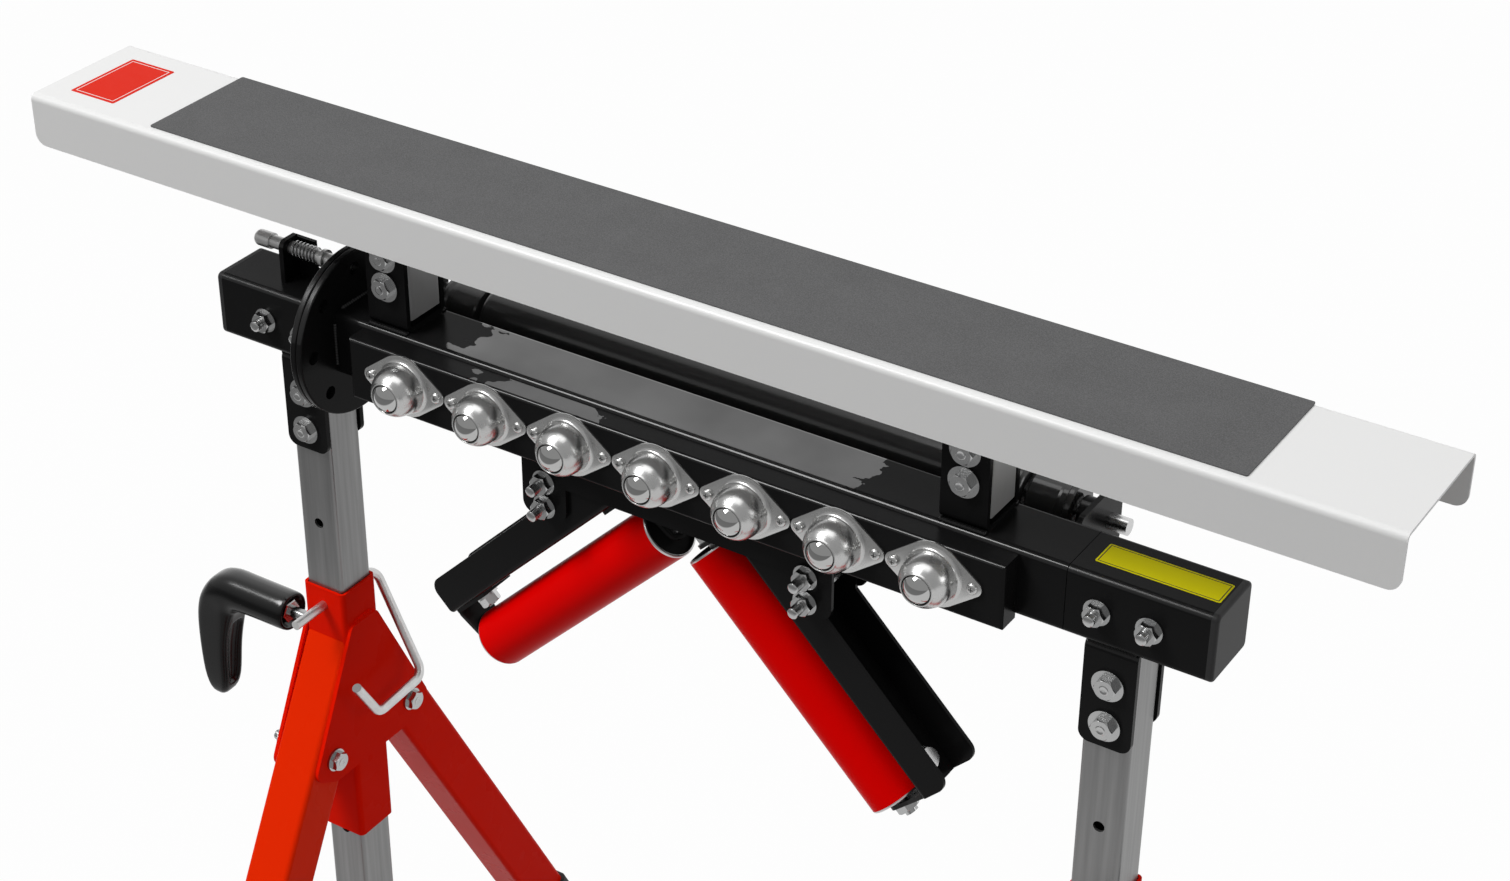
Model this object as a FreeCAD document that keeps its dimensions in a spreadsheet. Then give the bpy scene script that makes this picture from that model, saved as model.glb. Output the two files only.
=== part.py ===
import FreeCAD, Part
import math
import os
import re
from types import SimpleNamespace

# A work table on two folding leg sets, whose head turns to bring a flat table, ball units,
# a plain roller or a pair of V rollers to the top.
# X runs along the head, Y goes to the back, Z is up, and the origin is on the floor
# under the middle of the table. Each piece is drawn round the head's own axis or round
# the leg pivots, and its Placement puts it where it belongs.

# Driving dimensions, in millimetres and degrees, with counts as plain numbers
SIZES = {
    # where the head and the legs stand
    "head_offset": 12,
    "pivot_height": 386,
    "pin_above_pivot": 124,
    "leg_reach": 334,
    # telescopic leg tubes
    "post_side": 35,
    "post_wall": 2,
    "post_corner": 3,
    "leg_tube_foot": 680,
    "first_hole_drop": 175,
    "hole_pitch": 75,
    "hole_count": 7,
    "pinned_hole": 1,
    "pin_hole": 8.5,
    # sleeves and their gusset plates, measured from the leg pivots
    "sleeve_side": 40,
    "sleeve_wall": 2.2,
    "sleeve_corner": 4,
    "sleeve_rise": 139,
    "sleeve_fall": 100,
    "gusset_thick": 3,
    "gusset_top": 108,
    "gusset_top_half": 17,
    "gusset_top_corner": 5,
    "gusset_half": 69,
    "gusset_side_corner": 10,
    "gusset_fall": 23,
    "gusset_foot_half": 53,
    "gusset_foot_corner": 8,
    # folding legs
    "leg_angle": 28,
    "leg_play": 0.3,
    "leg_wall": 2,
    "leg_corner": 4,
    "pivot_reach": 48,
    "leg_top_reach": 130,
    "back_leg_top_reach": 68,
    "foot_sole": 8,
    "foot_wall": 3,
    "foot_cover": 30,
    "foot_corner": 5,
    # clamp handles and screws
    "clamp_rise": 85.5,
    "screw_size": 10,
    "screw_tip_play": 0.3,
    "clamp_nut_flats": 17,
    "clamp_nut_thick": 8,
    "boss_start": 29,
    "boss_size": 33,
    "boss_length": 56,
    "boss_socket": 30,
    "handle_reach": 48,
    "handle_drop": 112.5,
    "handle_width": 27,
    "lever_start_share": 0.57,
    # locking pins of bent wire
    "pin_size": 7.5,
    "pin_play": 0.1,
    "pin_front_reach": 54,
    "pin_back_reach": 42,
    "pin_bend_radius": 11,
    "pin_side_reach": 43,
    "pin_drop": 88,
    "pin_return_length": 56,
    "pin_tip_reach": 24,
    "pin_tip_height": 39,
    "pin_run_drop": 3,
    # head beam and its housings
    "beam_side": 51,
    "beam_wall": 3,
    "beam_corner": 4.5,
    "beam_left": 294.2,
    "beam_right": 300.5,
    "seam_gap": 0.5,
    "left_housing_length": 97.5,
    "right_housing_length": 99,
    "end_cap": 5,
    "end_cap_bevel": 2.5,
    # index discs
    "disc_size": 130,
    "disc_thick": 5,
    "disc_gap": 0.3,
    "disc_edge": 1.2,
    "index_radius": 51,
    "index_count": 8,
    "disc_bore_play": 0.4,
    # pivot stubs and bushes
    "journal_size": 30,
    "journal_play": 0.05,
    "stub_side": 44.8,
    "stub_corner": 2,
    "stub_end_reach": 382,
    "bush_length": 30,
    "near_bolt_reach": 324,
    "far_bolt_reach": 360.5,
    # index plunger, its bracket and spring, with the bracket measured from the fixed disc
    "plunger_size": 10,
    "plunger_play": 0.1,
    "plunger_tip_play": 0.2,
    "knob_size": 12.4,
    "knob_length": 15,
    "knob_edge": 4,
    "knob_reach": 29,
    "collar_size": 14,
    "collar_thick": 3,
    "bracket_reach": 52.5,
    "bracket_thick": 4,
    "bracket_front": 10,
    "bracket_top": 59,
    "bracket_corner": 6,
    "bracket_wall_gap": 7,
    "bracket_wall_thick": 3,
    "bracket_wall_length": 20,
    "bracket_wall_top": 57,
    "spring_wire": 1.2,
    "spring_play": 0.3,
    "spring_end_play": 0.2,
    "spring_length": 29.6,
    "spring_turns": 7,
    "spring_lead_share": 0.08,
    # saddles that hold the leg tubes
    "saddle_thick": 4,
    "saddle_width": 38,
    "saddle_fall": 80.5,
    "saddle_corner": 8,
    "saddle_bend": 7,
    "saddle_bolt_drop": 56,
    "saddle_bolt_pitch": 32,
    # table sockets
    "socket_reach": 235,
    "socket_width": 35,
    "socket_rise": 71.5,
    "socket_bolt_rise": 60,
    "socket_bolt_pitch": 23.5,
    # table posts, table and mat
    "post_lift": 9,
    "table_length": 1070,
    "table_width": 108,
    "table_flange": 40,
    "table_thick": 2.2,
    "table_bend": 5,
    "table_corner": 9,
    "table_rise": 145.5,
    "mat_left": 424,
    "mat_right": 433,
    "mat_width": 100,
    "mat_shift": 3,
    "mat_thick": 1,
    "mat_corner": 1.5,
    # rail and ball units
    "rail_reach": 266.5,
    "rail_depth": 18.5,
    "rail_height": 49.4,
    "rail_drop": 2.3,
    "rail_wall": 2.5,
    "rail_edge": 2.5,
    "ball_count": 7,
    "ball_pitch": 72,
    "ball_drop": 0.6,
    "ball_size": 25.4,
    "ball_play": 0.4,
    "ball_seat": 15.8,
    "ball_flange_thick": 2,
    "ball_flange_tip": 6.5,
    "ball_flange_half": 22.5,
    "cup_foot": 20.8,
    "cup_waist": 17.8,
    "cup_waist_rise": 5.2,
    "cup_rim": 12,
    "cup_height": 23.5,
    "cup_rim_edge": 0.8,
    "screw_pitch": 58.4,
    "small_screw": 4,
    "small_screw_play": 0.2,
    "small_head": 8,
    "small_head_rise": 2.4,
    "small_head_round_share": 0.8,
    "small_screw_length": 10,
    # hanger under the beam
    "hanger_reach": 129,
    "hanger_thick": 3,
    "hanger_inner": 45,
    "hanger_fall": 30,
    "ear_fall": 59.5,
    "ear_width": 38,
    "ear_corner": 10,
    "arm_pivot_reach": 109,
    "arm_pivot_drop": 54,
    "lock_bolt_drop": 20.5,
    # V arms, measured from their pivot along the arm and square to it
    "arm_angle": 45,
    "arm_travel": 30,
    "arm_width": 44.4,
    "arm_thick": 3,
    "arm_near_reach": 40,
    "arm_far_reach": 175,
    "arm_edge_drop": 13.2,
    "arm_web_drop": 41.5,
    "arm_corner": 10,
    "arm_bend": 4,
    "lobe_size": 26,
    "lobe_root_reach": 30,
    "slot_play": 0.6,
    "trough_bolt_inset": 20,
    # V rollers, their brackets and axles
    "roller_size": 45,
    "roller_wall": 2,
    "roller_edge": 1.5,
    "roller_recess": 3,
    "roller_end_thick": 3,
    "roller_near_reach": 49.3,
    "v_roller_length": 219.5,
    "roller_drop": 78.4,
    "roller_end_gap": 2.7,
    "strap_thick": 3,
    "strap_width": 32,
    "strap_leg": 36,
    "strap_tip": 11,
    "strap_corner": 5,
    "axle_size": 10,
    "axle_play": 0.1,
    "axle_nut_flats": 16,
    "axle_nut_thick": 6,
    "axle_overhang": 9,
    # rear roller and its brackets
    "rear_roller_reach": 225,
    "rear_roller_back": 72,
    "rear_roller_edge": 6,
    "rear_axle_size": 12,
    "rear_axle_left": 289,
    "rear_axle_right": 298,
    "rear_spacer_size": 20,
    "rear_spacer_start": 227.5,
    "rear_spacer_end": 262,
    "rear_boss_size": 24,
    "rear_boss_start": 264,
    "rear_plate_start": 280,
    "rear_plate_thick": 4,
    "rear_plate_back": 17,
    "rear_plate_half": 25.5,
    # fasteners
    "bolt_size": 8,
    "bolt_play": 0.2,
    "pivot_play": 0.1,
    "thread_play": 0.1,
    "head_flats": 14,
    "head_thick": 5.5,
    "head_chamfer": 1,
    "washer_size": 23,
    "washer_thick": 2,
    "small_washer_size": 19,
    "nut_thick": 6.5,
    "thread_end": 5,
    "long_thread_end": 9,
    "short_thread_end": 0.8,
    # how far a cutting tool overruns, and how near an edge lies to count as flush
    "overrun": 2,
    "flush": 0.01,
}

size = SimpleNamespace(**SIZES)
half_turn = 180
quarter_turn = 90

HEAD = "head_offset"
PIVOT = "pivot_height"
BEAM = "(pivot_height + pin_above_pivot + first_hole_drop + pinned_hole * hole_pitch)"
PLUS_X = FreeCAD.Vector(1, 0, 0)
PLUS_Y = FreeCAD.Vector(0, 1, 0)
PLUS_Z = FreeCAD.Vector(0, 0, 1)
# turns that lay a piece drawn along Z down along another direction
TURNS = {
    "x": FreeCAD.Rotation(PLUS_Y, quarter_turn),
    "-x": FreeCAD.Rotation(PLUS_Y, -quarter_turn),
    "y": FreeCAD.Rotation(PLUS_X, -quarter_turn),
    "-y": FreeCAD.Rotation(PLUS_X, quarter_turn),
    "z": FreeCAD.Rotation(),
}

doc = FreeCAD.newDocument("WorkTable")
sheet = doc.addObject("Spreadsheet::Sheet", "Sizes")
for row, (name, number) in enumerate(SIZES.items(), 1):
    sheet.set(f"A{row}", name)
    sheet.set(f"B{row}", str(number))
    sheet.setAlias(f"B{row}", name)
doc.recompute()

sub_parts = []


# Helpers that bind a piece to the sheet


def bound(rule):
    """A rule in size names, as an expression on the sheet's cells."""
    names = sorted(SIZES, key=len, reverse=True)
    return re.sub(r"\b(" + "|".join(names) + r")\b", r"Sizes.\1", rule)


def tie(item, path, rule):
    item.setExpression(path, bound(rule))
    return item


def place(item, x="", y="", z=""):
    for axis, rule in zip("xyz", (x, y, z)):
        if rule:
            tie(item, f"Placement.Base.{axis}", rule)
    return item


def turned(item, axis, rule):
    """The piece turned about an axis through its own origin."""
    item.Placement = FreeCAD.Placement(FreeCAD.Vector(), FreeCAD.Rotation(axis, quarter_turn))
    return tie(item, "Placement.Rotation.Angle", rule)


def finish(item, node):
    item.Label = node
    sub_parts.append(item)
    return item


# Helpers that make shapes


def box(x, y, z):
    """A block between two places along each axis."""
    item = doc.addObject("Part::Box", "Block")
    for side, axis, (low, high) in zip(("Length", "Width", "Height"), "xyz", (x, y, z)):
        tie(item, side, f"({high}) - ({low})")
        tie(item, f"Placement.Base.{axis}", low)
    return item


def rod(diameter, axis, along, at):
    """A round bar along an axis, with the places of its two other coordinates."""
    item = doc.addObject("Part::Cylinder", "Rod")
    tie(item, "Radius", f"({diameter}) / 2")
    tie(item, "Height", f"({along[1]}) - ({along[0]})")
    item.Placement = FreeCAD.Placement(FreeCAD.Vector(), TURNS[axis])
    others = [other for other in "xyz" if other != axis]
    tie(item, f"Placement.Base.{axis}", along[0])
    for other, rule in zip(others, at):
        tie(item, f"Placement.Base.{other}", rule)
    return item


def fuse(*pieces):
    item = doc.addObject("Part::MultiFuse", "Joined")
    item.Shapes = list(pieces)
    return item


def cut(base, *tools):
    item = doc.addObject("Part::Cut", "Cut")
    item.Base = base
    item.Tool = tools[0] if len(tools) == 1 else fuse(*tools)
    return item


def group(*pieces):
    item = doc.addObject("Part::Compound", "Group")
    item.Links = list(pieces)
    return item


def solid(shape):
    """A piece whose shape is worked out from the sheet's values in code."""
    item = doc.addObject("Part::Feature", "Shaped")
    item.Shape = shape
    return item


def copy_at(pattern, direction, x, y, z):
    """One more of a repeated piece, which is drawn along Z, laid along a direction."""
    item = solid(pattern.Shape.copy())
    item.Placement = FreeCAD.Placement(FreeCAD.Vector(), TURNS[direction])
    return place(item, x, y, z)


def mirrored(item):
    """The same piece on the other side of the head's middle."""
    other = doc.addObject("Part::Mirroring", "Mirrored")
    other.Source = item
    other.Normal = PLUS_X
    return tie(other, "Base.x", HEAD)


def flush_edges(shape, along, **ends):
    """Numbers of the straight edges along an axis whose middle lies at the named ends of the shape."""
    limits = shape.BoundBox
    picked = []
    for number, edge in enumerate(shape.Edges, 1):
        if edge.Curve.TypeId != "Part::GeomLine":
            continue
        run = edge.valueAt(edge.LastParameter) - edge.valueAt(edge.FirstParameter)
        if abs(getattr(run, along)) < run.Length - size.flush:
            continue
        middle = edge.CenterOfMass
        for axis, end in ends.items():
            limit = getattr(limits, axis.upper() + ("Max" if end == "high" else "Min"))
            if abs(getattr(middle, axis) - limit) > size.flush:
                break
        else:
            picked.append(number)
    return picked


def rounded(base, radius, *choices):
    """The piece with some edges rounded: each choice is an axis and the ends it lies at."""
    doc.recompute()
    numbers = sorted({n for along, ends in choices for n in flush_edges(base.Shape, along, **ends)})
    item = doc.addObject("Part::Fillet", "Rounded")
    item.Base = base
    item.Edges = [(number, radius, radius) for number in numbers]
    return item


def tube(axis, x, y, z, wall, corner):
    """A square or oblong tube along an axis with round corners."""
    spans = {"x": x, "y": y, "z": z}
    inner = {}
    for name, (low, high) in spans.items():
        step = "overrun" if name == axis else f"-{wall}"
        inner[name] = (f"({low}) - ({step})", f"({high}) + ({step})")
    radius = getattr(size, corner)
    skin = rounded(box(**spans), radius, (axis, {}))
    hollow = rounded(box(**inner), radius - getattr(size, wall), (axis, {}))
    return cut(skin, hollow)


def hull_wire(circles):
    """The outline round circles (across, up, radius) listed counter-clockwise, in the XY plane."""
    touching = []
    for (x1, y1, r1), (x2, y2, r2) in zip(circles, circles[1:] + circles[:1]):
        gap = math.hypot(x2 - x1, y2 - y1)
        ahead = ((x2 - x1) / gap, (y2 - y1) / gap)
        lean = (r1 - r2) / gap
        side = math.sqrt(1 - lean * lean)
        nx = lean * ahead[0] + side * ahead[1]
        ny = lean * ahead[1] - side * ahead[0]
        touching.append((nx, ny, FreeCAD.Vector(x1 + r1 * nx, y1 + r1 * ny, 0),
                         FreeCAD.Vector(x2 + r2 * nx, y2 + r2 * ny, 0)))
    edges = []
    for index, (x1, y1, r1) in enumerate(circles):
        before = touching[index - 1]
        after = touching[index]
        middle = FreeCAD.Vector(before[0] + after[0], before[1] + after[1], 0).normalize()
        top = FreeCAD.Vector(x1, y1, 0) + middle * r1
        edges.append(Part.Arc(before[3], top, after[2]).toShape())
        edges.append(Part.LineSegment(after[2], after[3]).toShape())
    return Part.Wire(edges)


def hull_plate(circles, thick, start=0):
    """A plate of that outline, from a height up by its thickness."""
    face = Part.Face(hull_wire(circles))
    face.translate(FreeCAD.Vector(0, 0, start))
    return face.extrude(FreeCAD.Vector(0, 0, thick))


def round_path(points, radius):
    """Straight runs joined by tangent arcs of one radius."""
    edges = []
    start = points[0]
    for before, corner, after in zip(points, points[1:], points[2:]):
        back = (before - corner).normalize()
        ahead = (after - corner).normalize()
        half = back.getAngle(ahead) / 2
        reach = radius / math.tan(half)
        first = corner + back * reach
        last = corner + ahead * reach
        inward = (back + ahead).normalize()
        middle = corner + inward * (radius / math.sin(half) - radius)
        edges.append(Part.LineSegment(start, first).toShape())
        edges.append(Part.Arc(first, middle, last).toShape())
        start = last
    edges.append(Part.LineSegment(start, points[-1]).toShape())
    return Part.Wire(edges)


def wire_solid(path, diameter):
    """A round wire along a path."""
    edge = path.Edges[0]
    start = edge.valueAt(edge.FirstParameter)
    ahead = edge.tangentAt(edge.FirstParameter)
    profile = Part.Wire(Part.Circle(start, ahead, diameter / 2).toShape())
    return path.makePipeShell([profile], True, False)


def biarc(start, leaving, end, arriving):
    """Two arcs that join two points and their directions without a kink."""
    chord = end - start
    both = leaving + arriving
    bend = 2 * (1 - leaving.dot(arriving))
    along = chord.dot(both)
    reach = (math.sqrt(along * along + bend * chord.dot(chord)) - along) / bend
    first_corner = start + leaving * reach
    second_corner = end - arriving * reach
    joint = (first_corner + second_corner) / 2
    edges = []
    for a, corner, b in ((start, first_corner, joint), (joint, second_corner, end)):
        cosine = (corner - a).normalize().dot((b - a).normalize())
        middle = ((a + b) / 2 + corner * cosine) / (1 + cosine)
        edges.append(Part.Arc(a, middle, b).toShape())
    return edges


# Fasteners, drawn along Z with the seat of the head or nut at the origin


def hexagon(flats, low, high):
    """A hexagon with its outer corners cut back, as on a bolt head."""
    prism = doc.addObject("Part::Prism", "Hexagon")
    prism.Polygon = 6
    tie(prism, "Circumradius", f"({flats}) / sqrt(3)")
    tie(prism, "Height", f"({high}) - ({low})")
    place(prism, z=low)
    disc = rod(f"2 * ({flats}) / sqrt(3)", "z", (low, high), ("0", "0"))
    doc.recompute()
    outer = doc.addObject("Part::Chamfer", "Bevelled")
    outer.Base = disc
    top = [n for n, edge in enumerate(disc.Shape.Edges, 1)
           if edge.Closed and abs(edge.CenterOfMass.z - disc.Shape.BoundBox.ZMax) < size.flush]
    outer.Edges = [(n, size.head_chamfer, size.head_chamfer) for n in top]
    head = doc.addObject("Part::Common", "Head")
    head.Base = prism
    head.Tool = outer
    return head


def bolt(washer, shank):
    """A hexagon bolt with its washer, and a shank of that length below the seat."""
    flat = rod(washer, "z", ("0", "washer_thick"), ("0", "0"))
    head = hexagon("head_flats", "washer_thick", "washer_thick + head_thick")
    stem = rod("bolt_size", "z", (f"-({shank})", "washer_thick"), ("0", "0"))
    return fuse(flat, head, stem)


def nut(washer):
    flat = rod(washer, "z", ("0", "washer_thick"), ("0", "0"))
    body = hexagon("head_flats", "washer_thick", "washer_thick + nut_thick")
    bore = rod("bolt_size + 2 * thread_play", "z",
               ("-overrun", "washer_thick + nut_thick + overrun"), ("0", "0"))
    return cut(fuse(flat, body), bore)


NUT_STACK = "washer_thick + nut_thick + thread_end"
plain_nut = nut("washer_size")
small_nut = nut("small_washer_size")
saddle_bolt = bolt("washer_size", "post_side + 2 * saddle_thick + " + NUT_STACK)
housing_bolt = bolt("small_washer_size", "beam_side + " + NUT_STACK)
hanger_bolt = bolt("small_washer_size",
                   "hanger_inner + 2 * hanger_thick + washer_thick + nut_thick + long_thread_end")
pivot_bolt = bolt("small_washer_size", "sleeve_side + 2 * gusset_thick + " + NUT_STACK)
SHORT_NUT_STACK = "washer_thick + nut_thick + short_thread_end"
trough_bolt = bolt("small_washer_size", "arm_thick + strap_thick + " + SHORT_NUT_STACK)
doc.recompute()


# Leg tubes and the saddles that bolt them under the housings


def leg_tube(sign):
    middle = f"{sign} * leg_reach"
    skin = tube("z", (f"{middle} - post_side / 2", f"{middle} + post_side / 2"),
                ("-post_side / 2", "post_side / 2"),
                ("-leg_tube_foot", "-(beam_side / 2 + saddle_thick)"), "post_wall", "post_corner")
    across = ("-(post_side / 2 + overrun)", "post_side / 2 + overrun")
    holes = [rod("pin_hole", "y", across, (middle, f"-(first_hole_drop + {n} * hole_pitch)"))
             for n in range(size.hole_count)]
    holes += [rod("bolt_size + 2 * bolt_play", "y", across,
                  (middle, f"-(saddle_bolt_drop + {n} * saddle_bolt_pitch)")) for n in (0, 1)]
    return place(cut(skin, *holes), x=HEAD, z=BEAM)


def strap_u(middle, width, low, high, open_up, bolt_places):
    """A bent strap: a web against the beam and two ears along the post, with bolt holes."""
    half = "(post_side / 2 + saddle_thick)"
    x = (f"{middle} - {width} / 2", f"{middle} + {width} / 2")
    web_end = {"z": "low" if open_up else "high"}
    ear_end = {"z": "high" if open_up else "low"}
    outer = rounded(box(x, (f"-{half}", half), (low, high)), size.saddle_bend, ("x", web_end))
    if open_up:
        gap = (f"{low} + saddle_thick", f"{high} + overrun")
    else:
        gap = (f"{low} - overrun", f"{high} - saddle_thick")
    inner = box((f"{x[0]} - overrun", f"{x[1]} + overrun"), ("-post_side / 2", "post_side / 2"), gap)
    bent = rounded(cut(outer, inner), size.saddle_corner, ("y", ear_end))
    across = (f"-({half} + overrun)", f"{half} + overrun")
    holes = [rod("bolt_size + 2 * bolt_play", "y", across, (middle, z)) for z in bolt_places]
    return cut(bent, *holes)


SADDLE_BOLTS = ("-saddle_bolt_drop", "-(saddle_bolt_drop + saddle_bolt_pitch)")
SOCKET_BOLTS = ("socket_bolt_rise", "socket_bolt_rise + socket_bolt_pitch")
finish(leg_tube(-1), "leg_tube_left")
finish(leg_tube(1), "leg_tube_right")
saddles = [strap_u(f"{sign} * leg_reach", "saddle_width", "-(beam_side / 2 + saddle_fall)",
                   "-(beam_side / 2)", False, SADDLE_BOLTS) for sign in (-1, 1)]
finish(place(group(*saddles), x=HEAD, z=BEAM), "leg_saddles")


# Housings at the two ends of the head, with their caps, pivot stubs and bolts

LEFT_SEAT = "(beam_left + 2 * disc_thick + disc_gap)"
RIGHT_SEAT = "(beam_right + seam_gap)"
SIDE = ("-beam_side / 2", "beam_side / 2")
left_end = f"({LEFT_SEAT} + left_housing_length)"
right_end = f"({RIGHT_SEAT} + right_housing_length)"


def housing(span, sign):
    skin = tube("x", span, SIDE, SIDE, "beam_wall", "beam_corner")
    across = ("-(beam_side / 2 + overrun)", "beam_side / 2 + overrun")
    holes = [rod("bolt_size + 2 * bolt_play", "y", across, (f"{sign} * {reach}", "0"))
             for reach in ("near_bolt_reach", "far_bolt_reach")]
    return place(cut(skin, *holes), x=HEAD, z=BEAM)


def end_cap(span, end):
    block = rounded(box(span, SIDE, SIDE), size.beam_corner, ("x", {}))
    return rounded(block, size.end_cap_bevel, ("y", {"x": end}), ("z", {"x": end}))


def pivot_stub(block_span, journal_span, sign):
    """A square plug bolted in the housing with a round journal that reaches into the beam."""
    half = ("-stub_side / 2", "stub_side / 2")
    plug = rounded(box(block_span, half, half), size.stub_corner, ("x", {}))
    journal = rod("journal_size", "x", journal_span, ("0", "0"))
    across = ("-(stub_side / 2 + overrun)", "stub_side / 2 + overrun")
    holes = [rod("bolt_size + 2 * bolt_play", "y", across, (f"{sign} * {reach}", "0"))
             for reach in ("near_bolt_reach", "far_bolt_reach")]
    return cut(fuse(plug, journal), *holes)


finish(housing((f"-{left_end}", f"-{LEFT_SEAT}"), -1), "left_housing")
finish(housing((RIGHT_SEAT, right_end), 1), "right_housing")
caps = (end_cap((f"-({left_end} + end_cap)", f"-{left_end}"), "low"),
        end_cap((right_end, f"{right_end} + end_cap"), "high"))
finish(place(group(*caps), x=HEAD, z=BEAM), "housing_end_caps")
left_journal = (f"-{LEFT_SEAT}", "-(beam_left - bush_length)")
right_journal = ("beam_right - bush_length", RIGHT_SEAT)
stubs = (pivot_stub(("-stub_end_reach", f"-{LEFT_SEAT}"), left_journal, -1),
         pivot_stub((RIGHT_SEAT, "stub_end_reach"), right_journal, 1))
finish(place(group(*stubs), x=HEAD, z=BEAM), "pivot_stubs")

FRONT_SADDLE = "-(post_side / 2 + saddle_thick)"
BACK_SADDLE = "post_side / 2 + saddle_thick"
frame_fasteners = []
for sign in (-1, 1):
    for z in SADDLE_BOLTS:
        x = f"{sign} * leg_reach"
        frame_fasteners.append(copy_at(saddle_bolt, "-y", x, FRONT_SADDLE, z))
        frame_fasteners.append(copy_at(plain_nut, "y", x, BACK_SADDLE, z))
    for reach in ("near_bolt_reach", "far_bolt_reach"):
        x = f"{sign} * {reach}"
        frame_fasteners.append(copy_at(housing_bolt, "y", x, "beam_side / 2", "0"))
        frame_fasteners.append(copy_at(small_nut, "-y", x, "-beam_side / 2", "0"))
finish(place(group(*frame_fasteners), x=HEAD, z=BEAM), "frame_fasteners")


# Index discs: one welded to the left housing, one with eight holes welded to the beam


def disc(span):
    plate = rod("disc_size", "x", span, ("0", "0"))
    doc.recompute()
    rims = [n for n, edge in enumerate(plate.Shape.Edges, 1) if edge.Closed]
    softened = doc.addObject("Part::Fillet", "Softened")
    softened.Base = plate
    softened.Edges = [(n, size.disc_edge, size.disc_edge) for n in rims]
    return softened


def index_hole(span, turn_share):
    """A plunger hole, some share of a turn round from the top."""
    angle = f"{turn_share} * 360"
    y = f"index_radius * sin({angle})"
    z = f"index_radius * cos({angle})"
    wide = (f"{span[0]} - overrun", f"{span[1]} + overrun")
    return rod("plunger_size + 2 * plunger_play", "x", wide, (y, z))


FIXED_DISC = (f"-{LEFT_SEAT}", "-(beam_left + disc_thick + disc_gap)")
INDEX_DISC = ("-(beam_left + disc_thick)", "-beam_left")


def disc_bore(span):
    wide = (f"{span[0]} - overrun", f"{span[1]} + overrun")
    return rod("journal_size + 2 * disc_bore_play", "x", wide, ("0", "0"))


fixed = cut(disc(FIXED_DISC), disc_bore(FIXED_DISC), index_hole(FIXED_DISC, 0))
finish(place(fixed, x=HEAD, z=BEAM), "fixed_disc")
index_holes = [index_hole(INDEX_DISC, f"({n} / index_count)") for n in range(size.index_count)]
turning = cut(disc(INDEX_DISC), disc_bore(INDEX_DISC), *index_holes)
finish(place(turning, x=HEAD, z=BEAM), "index_disc")


# Index plunger, drawn back at rest, with its bracket and spring on the left housing

BRACKET = f"({LEFT_SEAT} + bracket_reach)"
PLUNGER_END = f"({BRACKET} + knob_reach)"
EAR = (f"-{BRACKET}", f"-({BRACKET} - bracket_thick)")
ear = rounded(box(EAR, ("-bracket_front", "bracket_wall_gap"), ("beam_side / 2", "bracket_top")),
              size.bracket_corner, ("x", {"y": "low", "z": "high"}))
wall = box((f"-{BRACKET}", f"-({BRACKET} - bracket_wall_length)"),
           ("bracket_wall_gap", "bracket_wall_gap + bracket_wall_thick"),
           ("beam_side / 2", "bracket_wall_top"))
ear_hole = rod("plunger_size + 2 * plunger_play", "x",
               (f"-({BRACKET} + overrun)", f"-({BRACKET} - bracket_thick - overrun)"),
               ("0", "index_radius"))
finish(place(cut(fuse(ear, wall), ear_hole), x=HEAD, z=BEAM), "plunger_bracket")

knob = rod("knob_size", "x", (f"-{PLUNGER_END}", f"-({PLUNGER_END} - knob_length)"),
           ("0", "index_radius"))
doc.recompute()
knob_rim = [n for n, edge in enumerate(knob.Shape.Edges, 1)
            if edge.Closed and edge.CenterOfMass.x < knob.Shape.CenterOfMass.x]
round_knob = doc.addObject("Part::Fillet", "RoundKnob")
round_knob.Base = knob
round_knob.Edges = [(n, size.knob_edge, size.knob_edge) for n in knob_rim]
plunger_tip = "-(beam_left + disc_thick + disc_gap + plunger_tip_play)"
stem = rod("plunger_size", "x", (f"-({PLUNGER_END} - knob_length)", plunger_tip),
           ("0", "index_radius"))
COLLAR_START = f"({BRACKET} - bracket_thick - spring_length - 2 * spring_end_play)"
collar = rod("collar_size", "x", (f"-{COLLAR_START}", f"-({COLLAR_START} - collar_thick)"),
             ("0", "index_radius"))
finish(place(fuse(round_knob, stem, collar), x=HEAD, z=BEAM), "index_plunger")


def spring():
    """An open coil round the plunger, whose ends run out straight along it."""
    coil = (size.plunger_size + size.spring_wire) / 2 + size.spring_play
    lead = size.spring_lead_share * size.spring_length
    rise = size.spring_length - 2 * (lead + size.spring_wire)
    steps = 4 * size.spring_turns
    full = 2 * math.pi

    def point(share):
        angle = full * size.spring_turns * share
        return FreeCAD.Vector(lead + size.spring_wire + rise * share,
                              coil * math.cos(angle), coil * math.sin(angle))

    def heading(share):
        angle = full * size.spring_turns * share
        speed = full * size.spring_turns * coil
        return FreeCAD.Vector(rise, -speed * math.sin(angle), speed * math.cos(angle)).normalize()

    def end_point(share, x):
        angle = full * share
        return FreeCAD.Vector(x, coil * math.cos(angle), coil * math.sin(angle))

    lead_turn_share = size.spring_lead_share
    first = end_point(-lead_turn_share, size.spring_wire)
    last = end_point(lead_turn_share, size.spring_length - size.spring_wire)
    edges = [Part.LineSegment(first - PLUS_X * size.spring_wire, first).toShape()]
    edges += biarc(first, PLUS_X, point(0), heading(0))
    for step in range(steps):
        here = step / steps
        there = (step + 1) / steps
        edges += biarc(point(here), heading(here), point(there), heading(there))
    edges += biarc(point(1), heading(1), last, PLUS_X)
    edges.append(Part.LineSegment(last, last + PLUS_X * size.spring_wire).toShape())
    path = Part.Wire(edges)
    places = path.discretize(Number=40 * size.spring_turns)
    apart = path.Length / len(places)
    skip = int(full * coil / 2 / apart)
    gap = min((a - b).Length for i, a in enumerate(places) for b in places[i + skip:])
    print("spring: least gap to itself", round(gap - size.spring_wire, 2), "mm")
    return wire_solid(path, size.spring_wire)


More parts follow.
